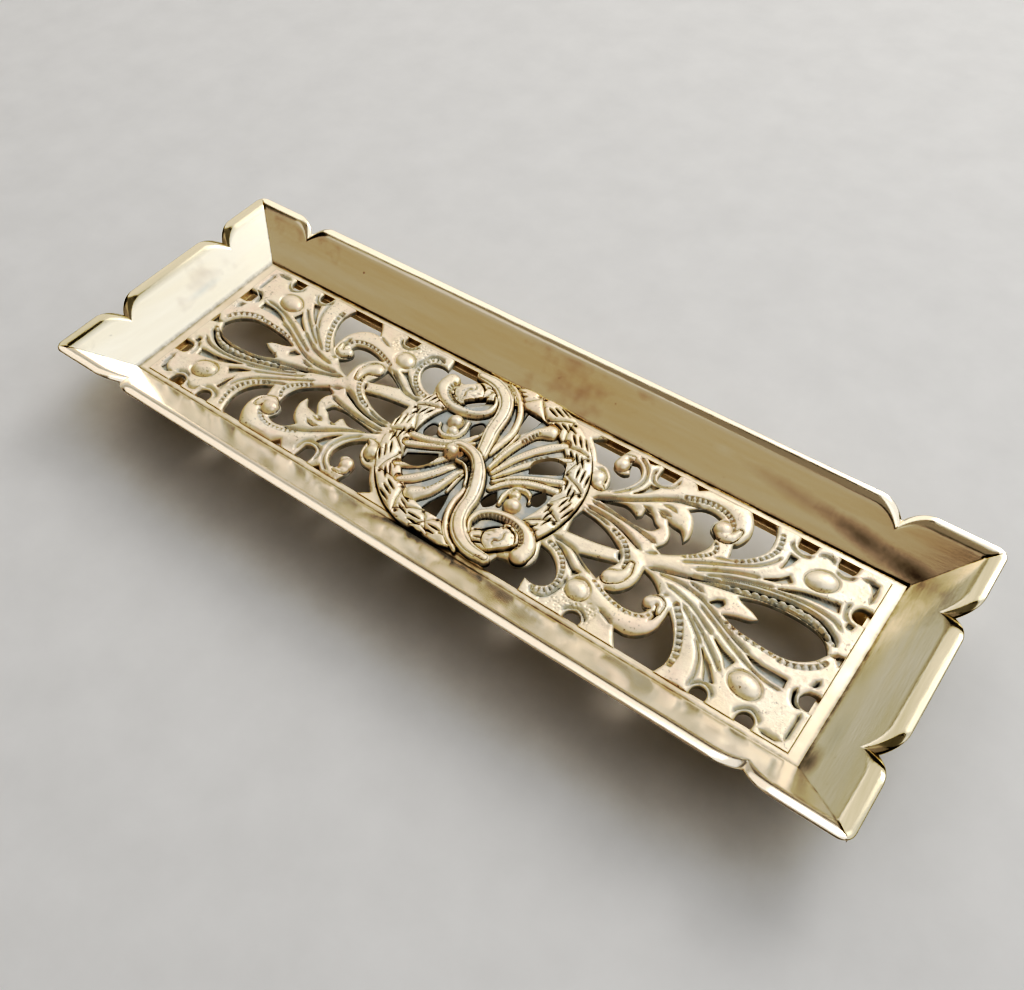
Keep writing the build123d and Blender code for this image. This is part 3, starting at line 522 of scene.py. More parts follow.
def bead_row(relief, z, width, spacing, path):
    """Sinks a channel along the path and sets pearls in it."""
    where, distance, along, _ = relief.near(curve(path), LINE_REACH)
    half = width / 2
    length = along.max()
    beside = (along > 0) & (along < length)
    inside = (distance < half) & beside
    trough = np.clip(1 - (distance / half) ** 4, 0, 1) * (distance < half)
    phase = (along / spacing) % 1 - 0.5
    pearl = 1 - (phase / PEARL_LENGTH) ** 2 - (distance / (half * PEARL_WIDTH)) ** 2
    z[where] += BEAD_DEPTH * (np.sqrt(np.maximum(pearl, 0)) * inside - trough)
    # Painted shade between the pearls and along the channel's edges.
    relief.darken(where, 0.6 * trough * np.clip(1 - pearl * 2.2, 0, 1))
    relief.darken(where, 0.5 * falloff(np.abs(distance - half), 0.25) * beside)
    relief.whiten(where, 0.5 * (distance < half * PEARL_WIDTH) * inside)


# The moat round an eye: its middle, its half width, its depth and the tone of its painted shade.
MOAT_OFFSET, MOAT_HALF, MOAT_DEPTH, MOAT_SHADE_TONE = 0.15, 0.45, 0.5, 0.65


def dome(relief, z, x, y, long_half, short_half, angle, height, base, gap=None):
    """A raised eye or cabochon on the level of base.

    Its ring of painted shade goes all round, or lies only on the side that gap points to, in degrees, as a
    painted shadow.
    """
    reach = long_half + 1.0
    where = relief.window((x - reach, y - reach), (x + reach, y + reach))
    c, s = math.cos(math.radians(angle)), math.sin(math.radians(angle))
    px, py = relief.x[where] - x, relief.y[where] - y
    r = np.hypot((px * c + py * s) / long_half, (py * c - px * s) / short_half)
    cap = base + height * arch(r)
    moat = falloff(np.abs((r - 1) * short_half - MOAT_OFFSET), MOAT_HALF)
    if gap is not None:
        toward = np.cos(np.arctan2(py, px) - math.radians(gap))
        moat *= np.clip(0.9 * toward + 0.35, 0, 1)
        cap = np.where(toward < 0.3, np.maximum(cap, z[where] * (r > 0.6)), cap)
    z[where] = np.where(r < 1, np.maximum(cap, base), z[where] - MOAT_DEPTH * moat)
    relief.dark[where] = np.maximum(relief.dark[where] * (r > 1), MOAT_SHADE_TONE * moat * (r > 0.99))
    relief.bloom[where] *= r > 1
    relief.solid[where] = np.maximum(relief.solid[where], (1 - r) * short_half)


BAND_REACH, LEAST_HALF = 6.0, 0.05
SIDE_OFFSET, SIDE_HALF, SIDE_DEPTH = 0.05, 0.34, 0.4
LEAST_LINED, LINED_AT, LINED_DEPTH = 0.8, 0.6, 0.22
STITCH_SPACING, STITCH_DEPTH = 0.8, 0.12


def band(relief, z, path, low, height, power=2.0, lined=False, stitched=False):
    """A raised scroll laid over what is there, with a rounded back, painted shade on its flanks and a line of
    painted shade along both sides.

    lined adds a cut inside each edge, and stitched a row of fine dots along the back; both are darkened with
    painted shade.
    """
    where, distance, along, width = relief.near(curve(path), BAND_REACH)
    half = np.maximum(width / 2, LEAST_HALF)
    across = np.clip(distance / half, 0, 1)
    inside = distance < half
    back = low + height * (1 - across ** power) ** (1 / power)
    moat = falloff(np.abs(distance - half - SIDE_OFFSET), SIDE_HALF) * ~inside
    z[where] = np.where(inside, np.maximum(back, z[where] * (across > 0.9)), z[where] - SIDE_DEPTH * moat)
    edge_shade = 0.6 * np.clip((across - 0.88) / 0.12, 0, 1)
    relief.dark[where] = np.where(inside, edge_shade, np.maximum(relief.dark[where], moat))
    relief.bloom[where] *= ~inside
    tapered = inside & (half > LEAST_LINED)
    if lined:
        line = tapered * falloff(np.abs(distance - LINED_AT * half), 0.24, 1.2)
        z[where] -= LINED_DEPTH * line
        relief.darken(where, 0.8 * line)
    if stitched:
        from_dot = ((along / STITCH_SPACING) % 1 - 0.5) * STITCH_SPACING
        dot = tapered * falloff(np.hypot(distance, from_dot), 0.24, 1.3)
        z[where] -= STITCH_DEPTH * dot
        relief.darken(where, 0.75 * dot)


PLATE_CRISP = math.radians(60)


def plate(name, relief, z, bottom, material):
    """Makes the closed mesh of a relief: its top at z, straight sides along the outline, a flat underside."""
    solid = relief.solid
    inside = solid > 0
    kept = inside[:-1, :-1] | inside[1:, :-1] | inside[:-1, 1:] | inside[1:, 1:]
    used = np.zeros(inside.shape, bool)
    for a, b in ((0, 0), (1, 0), (0, 1), (1, 1)):
        used[a:used.shape[0] - 1 + a, b:used.shape[1] - 1 + b] |= kept
    gx, gy = np.gradient(solid, relief.step)
    size = np.hypot(gx, gy) + TINY
    pull = np.where(used & ~inside, np.clip(-solid, 0, 1.5 * relief.step), 0)
    x = relief.x + pull * gx / size
    y = relief.y + pull * gy / size
    number = np.full(inside.shape, -1)
    count = int(used.sum())
    number[used] = np.arange(count)
    top = np.stack([x[used], y[used], z[used]], 1)
    low = top.copy()
    low[:, 2] = bottom
    cell = (number[:-1, :-1], number[1:, :-1], number[1:, 1:], number[:-1, 1:])
    corners = np.stack([corner[kept] for corner in cell], 1)
    faces = [corners, corners[:, ::-1] + count]
    blank = np.pad(kept, 1)
    sides = (
        (blank[1:-1, :-2], (0, 0), (1, 0)),
        (blank[2:, 1:-1], (1, 0), (1, 1)),
        (blank[1:-1, 2:], (1, 1), (0, 1)),
        (blank[:-2, 1:-1], (0, 1), (0, 0)),
    )
    nx, ny = kept.shape
    for neighbour, start, end in sides:
        open_side = kept & ~neighbour
        a = number[start[0]:start[0] + nx, start[1]:start[1] + ny][open_side]
        b = number[end[0]:end[0] + nx, end[1]:end[1] + ny][open_side]
        faces.append(np.stack([a + count, b + count, b, a], 1))
    quads = np.vstack(faces)
    mesh = bpy.data.meshes.new(name)
    mesh.vertices.add(2 * count)
    mesh.vertices.foreach_set("co", (np.vstack([top, low]) * MM).ravel().astype(np.float32))
    mesh.loops.add(quads.size)
    mesh.loops.foreach_set("vertex_index", quads.ravel().astype(np.int32))
    mesh.polygons.add(len(quads))
    mesh.polygons.foreach_set("loop_start", np.arange(0, quads.size, 4, dtype=np.int32))
    mesh.update(calc_edges=True)
    mesh.validate()
    mesh.polygons.foreach_set("use_smooth", np.ones(len(mesh.polygons), bool))
    for label, values in (("crevice_shade_and_grime", relief.dark), ("bloom", relief.bloom)):
        layer = mesh.attributes.new(label, "FLOAT", "POINT")
        layer.data.foreach_set("value", np.tile(values[used], 2).astype(np.float32))
    mesh.set_sharp_from_angle(angle=PLATE_CRISP)
    mesh.materials.append(material)
    return link(name, mesh)


# ---- Materials ----

CREAM = (0.96, 0.86, 0.68)
GOLD = (0.91, 0.77, 0.54)
PEACH = (0.93, 0.74, 0.57)
MOTTLE = (0.45, 0.32, 0.2)
SPECK = (0.2, 0.14, 0.09)
UMBER_GRIME_AND_SHADE = (0.016, 0.012, 0.009)
VERDIGRIS = (0.56, 0.59, 0.575)
DULL_GREY = (0.48, 0.5, 0.485)
TARNISH = (0.32, 0.2, 0.12)
SPOT = (0.16, 0.1, 0.06)
JOINT = (0.1, 0.075, 0.05)
SEAM_GRIME_AND_SHADE = (0.045, 0.032, 0.022)
BROWN = (0.09, 0.065, 0.05)
GREY = (0.5, 0.53, 0.5)
PAINTED_SHADE_GREY = (0.27, 0.26, 0.26)


def new_material(name):
    material = bpy.data.materials.new(name)
    material.use_nodes = True
    tree = material.node_tree
    return material, tree, tree.nodes["Principled BSDF"]


def node(tree, kind, settings=None, **inputs):
    """Adds a shader node. settings are its properties; inputs are values or sockets, by name or _number."""
    n = tree.nodes.new("ShaderNode" + kind)
    for key, value in (settings or {}).items():
        setattr(n, key, value)
    for key, value in inputs.items():
        socket = n.inputs[int(key[1:])] if key[0] == "_" else n.inputs[key]
        if isinstance(value, bpy.types.NodeSocket):
            tree.links.new(value, socket)
        else:
            socket.default_value = value
    return n


def maths(tree, operation, *values, clamp=False):
    inputs = {f"_{i}": value for i, value in enumerate(values)}
    return node(tree, "Math", {"operation": operation, "use_clamp": clamp}, **inputs).outputs[0]


def vector_maths(tree, operation, *values):
    inputs = {f"_{i}": value for i, value in enumerate(values)}
    return node(tree, "VectorMath", {"operation": operation}, **inputs)


def multiply(tree, a, b):
    return maths(tree, "MULTIPLY", a, b)


def object_place(tree):
    """Coordinates on the object, in metres."""
    return node(tree, "TexCoord").outputs["Object"]


def noise(tree, scale, detail=4.0, roughness=0.55, stretch=(1, 1, 1), distortion=0.0):
    """Noise in object space; scale is in features per metre."""
    scales = tuple(scale * s for s in stretch)
    mapped = node(tree, "Mapping", Vector=object_place(tree), Scale=scales).outputs[0]
    return node(tree, "TexNoise", Vector=mapped, Scale=1.0, Detail=detail, Roughness=roughness,
                Distortion=distortion).outputs["Fac"]


def ramp(tree, factor, *stops):
    """A ramp from (position, colour or grey) stops."""
    n = node(tree, "ValToRGB", Fac=factor)
    elements = n.color_ramp.elements
    while len(elements) < len(stops):
        elements.new(0.5)
    for element, (position, value) in zip(elements, stops):
        element.position = position
        element.color = (*value, 1) if isinstance(value, tuple) else (value, value, value, 1)
    return n.outputs[0]


def blend(tree, factor, a, b):
    """Mixes two colours, each a socket or three numbers."""
    a, b = ((*colour, 1) if isinstance(colour, tuple) else colour for colour in (a, b))
    return node(tree, "Mix", {"data_type": "RGBA"}, _0=factor, _6=a, _7=b).outputs[2]


def bump(tree, strength, distance, height, **inputs):
    return node(tree, "Bump", Strength=strength, Distance=distance, Height=height, **inputs).outputs[0]


def attribute(tree, name):
    return node(tree, "Attribute", {"attribute_name": name}).outputs["Fac"]


def relief_brass(name, metallic, bloom_tone, grime_and_shade_span):
    """Cast brass: polished high spots, umber grime with painted shade in the chased lines, hollows and edges,
    and a pale bloom in the sunk channels.
    """
    material, tree, shader = new_material(name)
    crevice_shade_and_grime, bloom = attribute(tree, "crevice_shade_and_grime"), attribute(tree, "bloom")
    drift = noise(tree, 60, 3)
    mottle = noise(tree, 420, 5)
    tone = blend(tree, ramp(tree, drift, (0.35, 0.0), (0.7, 1.0)), CREAM, GOLD)
    tone = blend(tree, ramp(tree, noise(tree, 110, 4, 0.65), (0.46, 0.0), (0.66, 0.75)), tone, PEACH)
    tone = blend(tree, ramp(tree, mottle, (0.54, 0.0), (0.8, 0.4)), tone, MOTTLE)
    patches = ramp(tree, noise(tree, 170, 3), (0.45, 0.0), (0.6, 1.0))
    specks = multiply(tree, ramp(tree, noise(tree, 1300, 3), (0.58, 0.0), (0.7, 0.75)), patches)
    tone = blend(tree, specks, tone, SPECK)
    flecks = multiply(tree, bloom, ramp(tree, noise(tree, 260, 3), (0.3, 0.25), (0.55, 1.0)))
    tone = blend(tree, flecks, tone, bloom_tone)
    worn = ramp(tree, noise(tree, 330, 4), (0.3, 0.6), (0.55, 1.0))
    # Umber grime and painted shade, from the crevice darkness.
    clean, filthy = grime_and_shade_span
    grime_and_shade = ramp(tree, multiply(tree, crevice_shade_and_grime, worn), (clean, 0.0), (filthy, 0.95))
    tone = blend(tree, grime_and_shade, tone, UMBER_GRIME_AND_SHADE)
    tree.links.new(tone, shader.inputs["Base Color"])
    dull = maths(tree, "MULTIPLY_ADD", grime_and_shade, 0.5, multiply(tree, flecks, 0.5))
    tree.links.new(maths(tree, "SUBTRACT", metallic, dull, clamp=True), shader.inputs["Metallic"])
    rough = ramp(tree, noise(tree, 900, 4), (0.3, 0.29), (0.75, 0.5))
    rough = blend(tree, flecks, rough, (0.7, 0.7, 0.7))
    rough = blend(tree, grime_and_shade, rough, (0.8, 0.8, 0.8))
    tree.links.new(rough, shader.inputs["Roughness"])
    tree.links.new(bump(tree, 0.7, 0.00012, noise(tree, 1100, 5, 0.65)), shader.inputs["Normal"])
    return material


ledge_x, ledge_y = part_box("gallery_right")[0].x / MM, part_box("gallery_front")[1].y / -MM


def spot(tree, centre, radii, turn):
    """A soft-edged patch: 1 at its centre, 0 at its radii (mm). turn is its slope in degrees."""
    centre, radii = (tuple(v * MM for v in values) for values in (centre, radii))
    moved = node(tree, "Mapping", {"vector_type": "TEXTURE"}, Vector=object_place(tree), Location=centre,
                 Rotation=(0, math.radians(turn), 0), Scale=radii).outputs[0]
    gap = vector_maths(tree, "LENGTH", moved).outputs["Value"]
    ragged = maths(tree, "MULTIPLY_ADD", noise(tree, 200, 5, 0.7), 0.5, gap)
    return ramp(tree, ragged, (0.3, 1.0), (1.2, 0.0))


def beyond_rectangle(tree, half_x, half_y):
    """How far a point is outside a rectangle (mm) round the middle of the tray, along X and Y (metres)."""
    size = vector_maths(tree, "ABSOLUTE", object_place(tree)).outputs[0]
    beyond = vector_maths(tree, "SUBTRACT", size, (half_x * MM, half_y * MM, 0)).outputs[0]
    return node(tree, "SeparateXYZ", Vector=beyond).outputs[:2]


def close_to_zero(tree, value, reach):
    """1 where the value is 0, falling to 0 at reach on both sides."""
    size = maths(tree, "ABSOLUTE", value)
    return node(tree, "MapRange", Value=size, _1=0.0, _2=reach, _3=1.0, _4=0.0).outputs[0]


def from_rectangle(tree, half_x, half_y, reach, top):
    """1 on a rectangle round the middle of the tray, 0 at reach (mm) from it or above top."""
    level = close_to_zero(tree, maths(tree, "MAXIMUM", *beyond_rectangle(tree, half_x, half_y)), reach * MM)
    z = node(tree, "SeparateXYZ", Vector=object_place(tree)).outputs["Z"]
    return multiply(tree, level, maths(tree, "LESS_THAN", z, top * MM))


MITRE_WIDTH, MITRE_STRENGTH = 0.03, 0.6


def near_mitre(tree):
    """1 on the joints between the walls, with ragged gaps."""
    x, y = beyond_rectangle(tree, ledge_x, ledge_y)
    x = maths(tree, "DIVIDE", x, cad_high.x - ledge_x * MM)
    y = maths(tree, "DIVIDE", y, cad_high.y - ledge_y * MM)
    level = close_to_zero(tree, maths(tree, "SUBTRACT", x, y), MITRE_WIDTH)
    return multiply(tree, level, ramp(tree, noise(tree, 330, 5, 0.75), (0.4, 0.1), (0.6, 1.0)))


def sheet_brass(name, light=CREAM, deep=GOLD, rough=(0.1, 0.2), wave=0.3, stretch=(1, 1, 1), swirl=0.0,
                tone_patches=(), seams=(), rim_painted_light=None, metallic=1.0):
    """Polished sheet brass: long faint streaks, slow waves, patches of tarnish, listed patches of tone, and
    grime with painted shade along the seams.

    The rim tone is painted light, lighter or darker for how that wall's rim is lit, on meshes that have a
    "crest" attribute; these also show the mitre joints.
    The patches are (centre, radii, turn, strength, colour). seams are rectangles: (half length, half width,
    reach, strength, top).
    """
    material, tree, shader = new_material(name)
    streaks = noise(tree, 90, 5, 0.6, stretch, swirl)
    patches = noise(tree, 34, 4, 0.6)
    tone = blend(tree, ramp(tree, streaks, (0.3, 0.0), (0.72, 1.0)), light, deep)
    tone = blend(tree, ramp(tree, patches, (0.6, 0.0), (0.8, 0.55)), tone, TARNISH)
    tone = blend(tree, ramp(tree, noise(tree, 700, 3), (0.72, 0.0), (0.82, 0.5)), tone, SPOT)
    # On the rim: a painted light tone, lighter or darker for how each wall's rim is lit.
    if rim_painted_light:
        rim = attribute(tree, "rim_painted_light")
        tone = blend(tree, rim, tone, blend(tree, streaks, rim_painted_light, deep))
        mitre = multiply(tree, near_mitre(tree), maths(tree, "SUBTRACT", 1.0, rim))
        tone = blend(tree, multiply(tree, mitre, MITRE_STRENGTH), tone, JOINT)
    for centre, radii, turn, strength, colour in tone_patches:
        tone = blend(tree, multiply(tree, spot(tree, centre, radii, turn), strength), tone, colour)
    for half_x, half_y, reach, strength, top in seams:
        gaps = ramp(tree, noise(tree, 420, 5, 0.75), (0.3, 0.35), (0.65, 1.0))
        ragged = multiply(tree, from_rectangle(tree, half_x, half_y, reach, top), gaps)
        # Grime and painted shade along the seams.
        tone = blend(tree, ramp(tree, ragged, (0.1, 0.0), (0.8, strength)), tone, SEAM_GRIME_AND_SHADE)
    tree.links.new(tone, shader.inputs["Base Color"])
    shader.inputs["Metallic"].default_value = metallic
    tree.links.new(ramp(tree, streaks, (0.25, rough[0]), (0.8, rough[1])), shader.inputs["Roughness"])
    fine = bump(tree, 0.25, 0.00006, noise(tree, 1800, 3, 0.6, stretch))
    tree.links.new(bump(tree, wave, 0.0012, noise(tree, 28, 2, 0.4), Normal=fine), shader.inputs["Normal"])
    return material


panel_brass = relief_brass("panel_brass", 0.5, VERDIGRIS, (0.32, 0.88))
medallion_brass = relief_brass("medallion_brass", 0.54, DULL_GREY, (0.29, 0.88))
panel_low, panel_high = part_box("pierced_panel")
half_length, half_width = panel_high.x / MM, panel_high.y / MM
ALONG_X, ALONG_Y = (0.12, 1, 1), (1, 0.12, 1)
SEAM_TOP = 14.0  # above the ledge and below the streaked part of the walls
# Grime with painted shade at the foot of the walls, and round the panel's border on the frame.
wall_foot = [(ledge_x, ledge_y, 1.1, 0.6, SEAM_TOP)]
frame_seams = [(ledge_x, ledge_y, 1.0, 0.6, SEAM_TOP), (half_length, half_width, 0.8, 0.4, SEAM_TOP)]
# On the far wall: brown patches, strongest towards its right end, and one pale patch. On the end walls: a
# brown and a grey patch at the right wall's near side, a grey one on the left wall, and at the right wall's
# far corner a broad grey painted shade that dims its reflection.
far_wall_patches = [((72, 33, 17.6), (24, 12, 2.4), 4, 0.22, BROWN), ((90, 32, 16), (20, 12, 3), 8, 0.55, BROWN),
              ((104, 31, 14.6), (13, 12, 3.4), 8, 0.74, BROWN), ((50, 35, 19), (5, 6, 1.6), 0, 0.5, CREAM)]
end_wall_patches = [((104.5, -26, 13.5), (5, 7, 3.4), 0, 0.6, BROWN), ((108, 28, 17), (13, 20, 9), 0, 0.9, PAINTED_SHADE_GREY),
              ((107, -18, 15), (5, 10, 3), 0, 0.3, GREY), ((-108, 4, 16.4), (4, 10, 1.4), 0, 0.35, GREY)]
# The walls are one brass, but each has its own colours, painted lighter or darker for how that wall is lit;
# their rim tones are painted light too, near white on the far wall and dark on the end walls.
far_wall_brass = sheet_brass(
    "far_wall_brass", light=(0.94, 0.84, 0.66), deep=(0.87, 0.735, 0.51), stretch=ALONG_X,
    seams=wall_foot, tone_patches=far_wall_patches, rim_painted_light=(1.0, 0.94, 0.82))
near_wall_brass = sheet_brass(
    "near_wall_brass", light=(1.0, 0.97, 0.88), deep=(1.0, 0.9, 0.76), rough=(0.12, 0.24), wave=0.55,
    stretch=ALONG_X, seams=wall_foot, rim_painted_light=(0.76, 0.66, 0.52), metallic=0.8)
end_wall_brass = sheet_brass(
    "end_wall_brass", light=(0.92, 0.85, 0.7), deep=(0.84, 0.755, 0.575), stretch=ALONG_Y, swirl=1.2,
    seams=wall_foot, tone_patches=end_wall_patches, rim_painted_light=(0.3, 0.26, 0.15))
frame_brass = sheet_brass(
    "frame_brass", light=(0.87, 0.77, 0.6), deep=(0.74, 0.61, 0.43), rough=(0.3, 0.48), wave=0.1,
    seams=frame_seams, metallic=0.85)
foot_brass = sheet_brass("foot_brass", light=GOLD, deep=(0.68, 0.53, 0.32), rough=(0.18, 0.34), wave=0.05)
fastener_brass = sheet_brass(
    "fastener_brass", light=(0.6, 0.45, 0.27), deep=(0.4, 0.28, 0.16), rough=(0.35, 0.6), wave=0.05)

# ---- Pierced panel ----

ground = ledge_top / MM
STEP = 0.2
FIT = 0.2

# How far the panel lies under the ledge at its openings and at its border, and how it rises from them.
OPENING_SINK, OPENING_SHOULDER, OPENING_RISE = 0.45, 1.2, 0.75
BORDER_SINK, BORDER_SHOULDER, BORDER_RISE = 0.12, 0.7, 0.9
SWELL_BLUR = 18
PUNCHED_DOTS, DOT_RADIUS, DOT_DEPTH, DOT_SEED = 110, 0.38, 0.25, 7
CLUB_SINK, CLUB_RISE = 0.1, 1.1

grid_x, grid_y = half_length + 2 * STEP, half_width + 2 * STEP
panel = Relief((-grid_x, -grid_y), (grid_x, grid_y), STEP)
border = np.minimum(half_length + FIT - np.abs(panel.x), half_width + FIT - np.abs(panel.y))


def bite(across, outward, half):
    """Cuts a round-ended slot of this half width out of the panel, open outwards."""
    panel.solid = np.minimum(panel.solid, np.hypot(across, np.minimum(outward, 0)) - half)


for turn in (1, -1):
    for outline in OPENINGS:
        panel.open(closed(outline, turn))
    for x, side, half, depth in EDGE_BITES:
        bite(panel.x - turn * x, panel.y * turn * side - (half_width - depth + half), half)
    for y, half, depth in END_BITES:
        bite(panel.y - turn * y, panel.x * turn - (half_length - depth + half), half)
from_centre = np.hypot(panel.x, panel.y)
panel.solid = np.minimum(panel.solid, from_centre - SEAT_RADIUS)
hole_edge = panel.solid.copy()
panel.edge = np.clip(panel.solid, 0, FAR)
panel.solid = np.minimum(panel.solid, border)
for turn in (1, -1):
    for width, depth, paths in LINES:
        for path in paths:
            panel.engrave(width, depth, turned(path, turn))
    for outline in HOLLOWS:
        panel.hollow(closed(outline, turn))
    for height, path in SWELLS:
        panel.swell(height, turned(path, turn))
panel_z = ground - OPENING_SINK + pillow(panel.edge, OPENING_SHOULDER, OPENING_RISE)
panel_z += smooth(panel.lift, SWELL_BLUR) - panel.cut
border_z = ground - BORDER_SINK + pillow(border, BORDER_SHOULDER, BORDER_RISE)
panel_z = np.minimum(panel_z, border_z + np.clip(border - BORDER_SHOULDER, 0, 1))
for turn in (1, -1):
    for width, spacing, path in BEAD_ROWS:
        bead_row(panel, panel_z, width, spacing, turned(path, turn))
    x, y, half_x, half_y = PUNCHED_GROUND
    rng = np.random.default_rng(DOT_SEED)
    for _ in range(PUNCHED_DOTS):
        px, py = turn * (x + half_x * rng.uniform(-1, 1)), turn * (y + half_y * rng.uniform(-1, 1))
        where = panel.window((px - 1, py - 1), (px + 1, py + 1))
        dot = falloff(np.hypot(panel.x[where] - px, panel.y[where] - py), DOT_RADIUS)
        panel_z[where] -= DOT_DEPTH * dot
        # Painted shade in each punched dot.
        panel.darken(where, 0.55 * dot)
    for path in CLUBS:
        band(panel, panel_z, turned(path, turn), ground - CLUB_SINK, CLUB_RISE)
    for x, y, long_half, short_half, angle, height, gap in EYES:
        if gap is not None and turn < 0:
            gap += 180
        dome(panel, panel_z, turn * x, turn * y, long_half, short_half, angle, height, ground, gap)

# The medallion's seat is level, with painted shade round it. The openings have rims of painted shade and the
# low parts a bloom.
under_wreath = from_centre < WREATH_OUTER + STEP / 2
panel_z = np.where(under_wreath, np.minimum(panel_z, ground), panel_z)
panel.darken(..., 0.9 * falloff(from_centre - WREATH_OUTER, 0.7))
panel.darken(..., 0.55 * falloff(hole_edge, 0.35))
panel.whiten(..., 0.75 * np.clip((ground + 0.02 - panel_z) / 0.3, 0, 1) * (border > 0.8))
panel_piece = plate("panel_casting", panel, panel_z, panel_low.z / MM, panel_brass)
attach(panel_piece, "root")
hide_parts("pierced_panel")

# ---- Wreath medallion ----

# The web is the flat back of the medallion; heights below are over it.
WEB_RISE, WEB_SHOULDER, WEB_EDGE_DROP = 0.7, 0.8, 0.5
WREATH_REACH = 31.0
EYE_GAP = 200
web = ground + WEB_RISE
wreath = Relief((-WREATH_REACH, -WREATH_FLAT - STEP), (WREATH_REACH, WREATH_FLAT + STEP), STEP)
radius = np.hypot(wreath.x, wreath.y)
wreath.solid = WREATH_OUTER - radius
for turn in (1, -1):
    for path in (VOLUTE, CROSSING, STRANDS[0]):
        where, distance, _, width = wreath.near(curve(turned(path, turn)), BAND_REACH)
        wreath.solid[where] = np.maximum(wreath.solid[where], width / 2 - distance)
for turn in (1, -1):
    for outline in WREATH_OPENINGS:
        wreath.open(closed(outline, turn))
wreath.solid = np.minimum(wreath.solid, WREATH_FLAT - np.abs(wreath.y))
wreath.edge = np.clip(wreath.solid, 0, FAR)
wreath_z = web - WEB_EDGE_DROP + pillow(wreath.edge, WEB_SHOULDER, WEB_EDGE_DROP)
wreath.bloom[:] = 1.0
# Painted shade near the medallion's outline and openings.
wreath.dark[:] = np.clip(0.9 - wreath.edge / 0.5, 0, 0.9)

# The laurel ring: pointed leaves in two rows, split by a zigzag, each with three cut veins.
RING_SIDE, RING_CROWN = 0.45, 0.75
LEAF_SHOULDER, LEAF_RISE, LEAF_SINK = 1.5, 0.8, 0.35
VEINS, VEIN_PITCH, VEIN_DEPTH, VEIN_SEED = 3, 1.35, 0.45, 5
ring_middle = (WREATH_OUTER + WREATH_INNER) / 2
ring_half = (WREATH_OUTER - WREATH_INNER) / 2
on_ring = (radius > WREATH_INNER) & (wreath.solid > 0) & (radius < WREATH_OUTER + 0.2)
crown = arch((radius - ring_middle) / (ring_half * 1.02))
split = np.full(radius.shape, FAR)
wreath_z = np.where(on_ring, web + RING_SIDE + RING_CROWN * crown, wreath_z)
wreath.dark[on_ring] = 0
wreath.bloom[on_ring] = 0


def on_wreath(degrees, r, side):
    """A point of the ring at this angle, on the right branch (side 1) or its mirror image (side -1)."""
    return side * r * math.cos(math.radians(degrees)), r * math.sin(math.radians(degrees))


for side in (1, -1):
    for k, inner in enumerate(LEAF_INNER):
        upper, lower = LEAF_OUTER[k], LEAF_OUTER[k + 1]
        zigzag = [on_wreath(degrees, r, side) for degrees, r in (
            (upper, WREATH_OUTER - 0.9), ((upper + inner) / 2 + 1, ring_middle - 0.6),
            (inner, WREATH_INNER + 0.5), (inner - 4.5, WREATH_INNER + 1.2),
            ((inner + lower) / 2 - 3, ring_middle + 0.6), (lower, WREATH_OUTER - 0.9))]
        for piece in (zigzag[:3], zigzag[2:]):
            where, distance, _, _ = wreath.near(curve(piece), 2.0)
            split[where] = np.minimum(split[where], distance)
        for degrees, r in ((inner - 2.2, WREATH_INNER + 0.7), (upper - 2.0, WREATH_OUTER - 1.1)):
            px, py = on_wreath(degrees, r, side)
            where = wreath.window((px - 2, py - 2), (px + 2, py + 2))
            gap = np.hypot(wreath.x[where] - px, wreath.y[where] - py)
            split[where] = np.minimum(split[where], np.maximum(gap - 0.35, 0))
leaves = pillow(split, LEAF_SHOULDER, LEAF_RISE) - LEAF_SINK
wreath_z = np.where(on_ring, wreath_z + leaves, wreath_z)
# Painted shade in the zigzag between the leaves and along the ring's inner edge.
wreath.dark = np.where(on_ring, 0.8 * falloff(split, 0.26, 1.25), wreath.dark)
wreath.darken(..., falloff(np.abs(radius - WREATH_INNER + 0.1), 0.35) * (wreath.solid > 0))


def vein(start, end):
    """One short cut in a leaf, darkened with painted shade."""
    where, distance, along, _ = wreath.near(curve([start, end]), 1.5)
    length = along.max() + TINY
    half = 0.33 * np.clip(np.minimum(along / length + 0.35, 1.25 - along / length) * 1.6, 0.3, 1.2)
    wreath_z[where] -= VEIN_DEPTH * groove(distance / (half + LINE_SIDE))
    wreath.darken(where, falloff(distance, half, 1.35))


rng = np.random.default_rng(VEIN_SEED)
for side in (1, -1):
    for k, inner in enumerate(LEAF_INNER):
        upper, lower = LEAF_OUTER[k], LEAF_OUTER[k + 1]
        for row in range(VEINS):
            r = WREATH_INNER + 2.3 + VEIN_PITCH * row
            if k > 0:
                start = upper + 5.0 - 3.2 * row + rng.uniform(-0.6, 0.6)
                vein(on_wreath(start + 1.0, r - 0.9, side), on_wreath(start - 7.0, r - 0.6, side))
            middle = (upper + lower) / 2 + 3.5 - 2.4 * row
            vein(on_wreath(middle + 1.0, r + 1.4, side), on_wreath(middle - 7.4, r + 0.9, side))

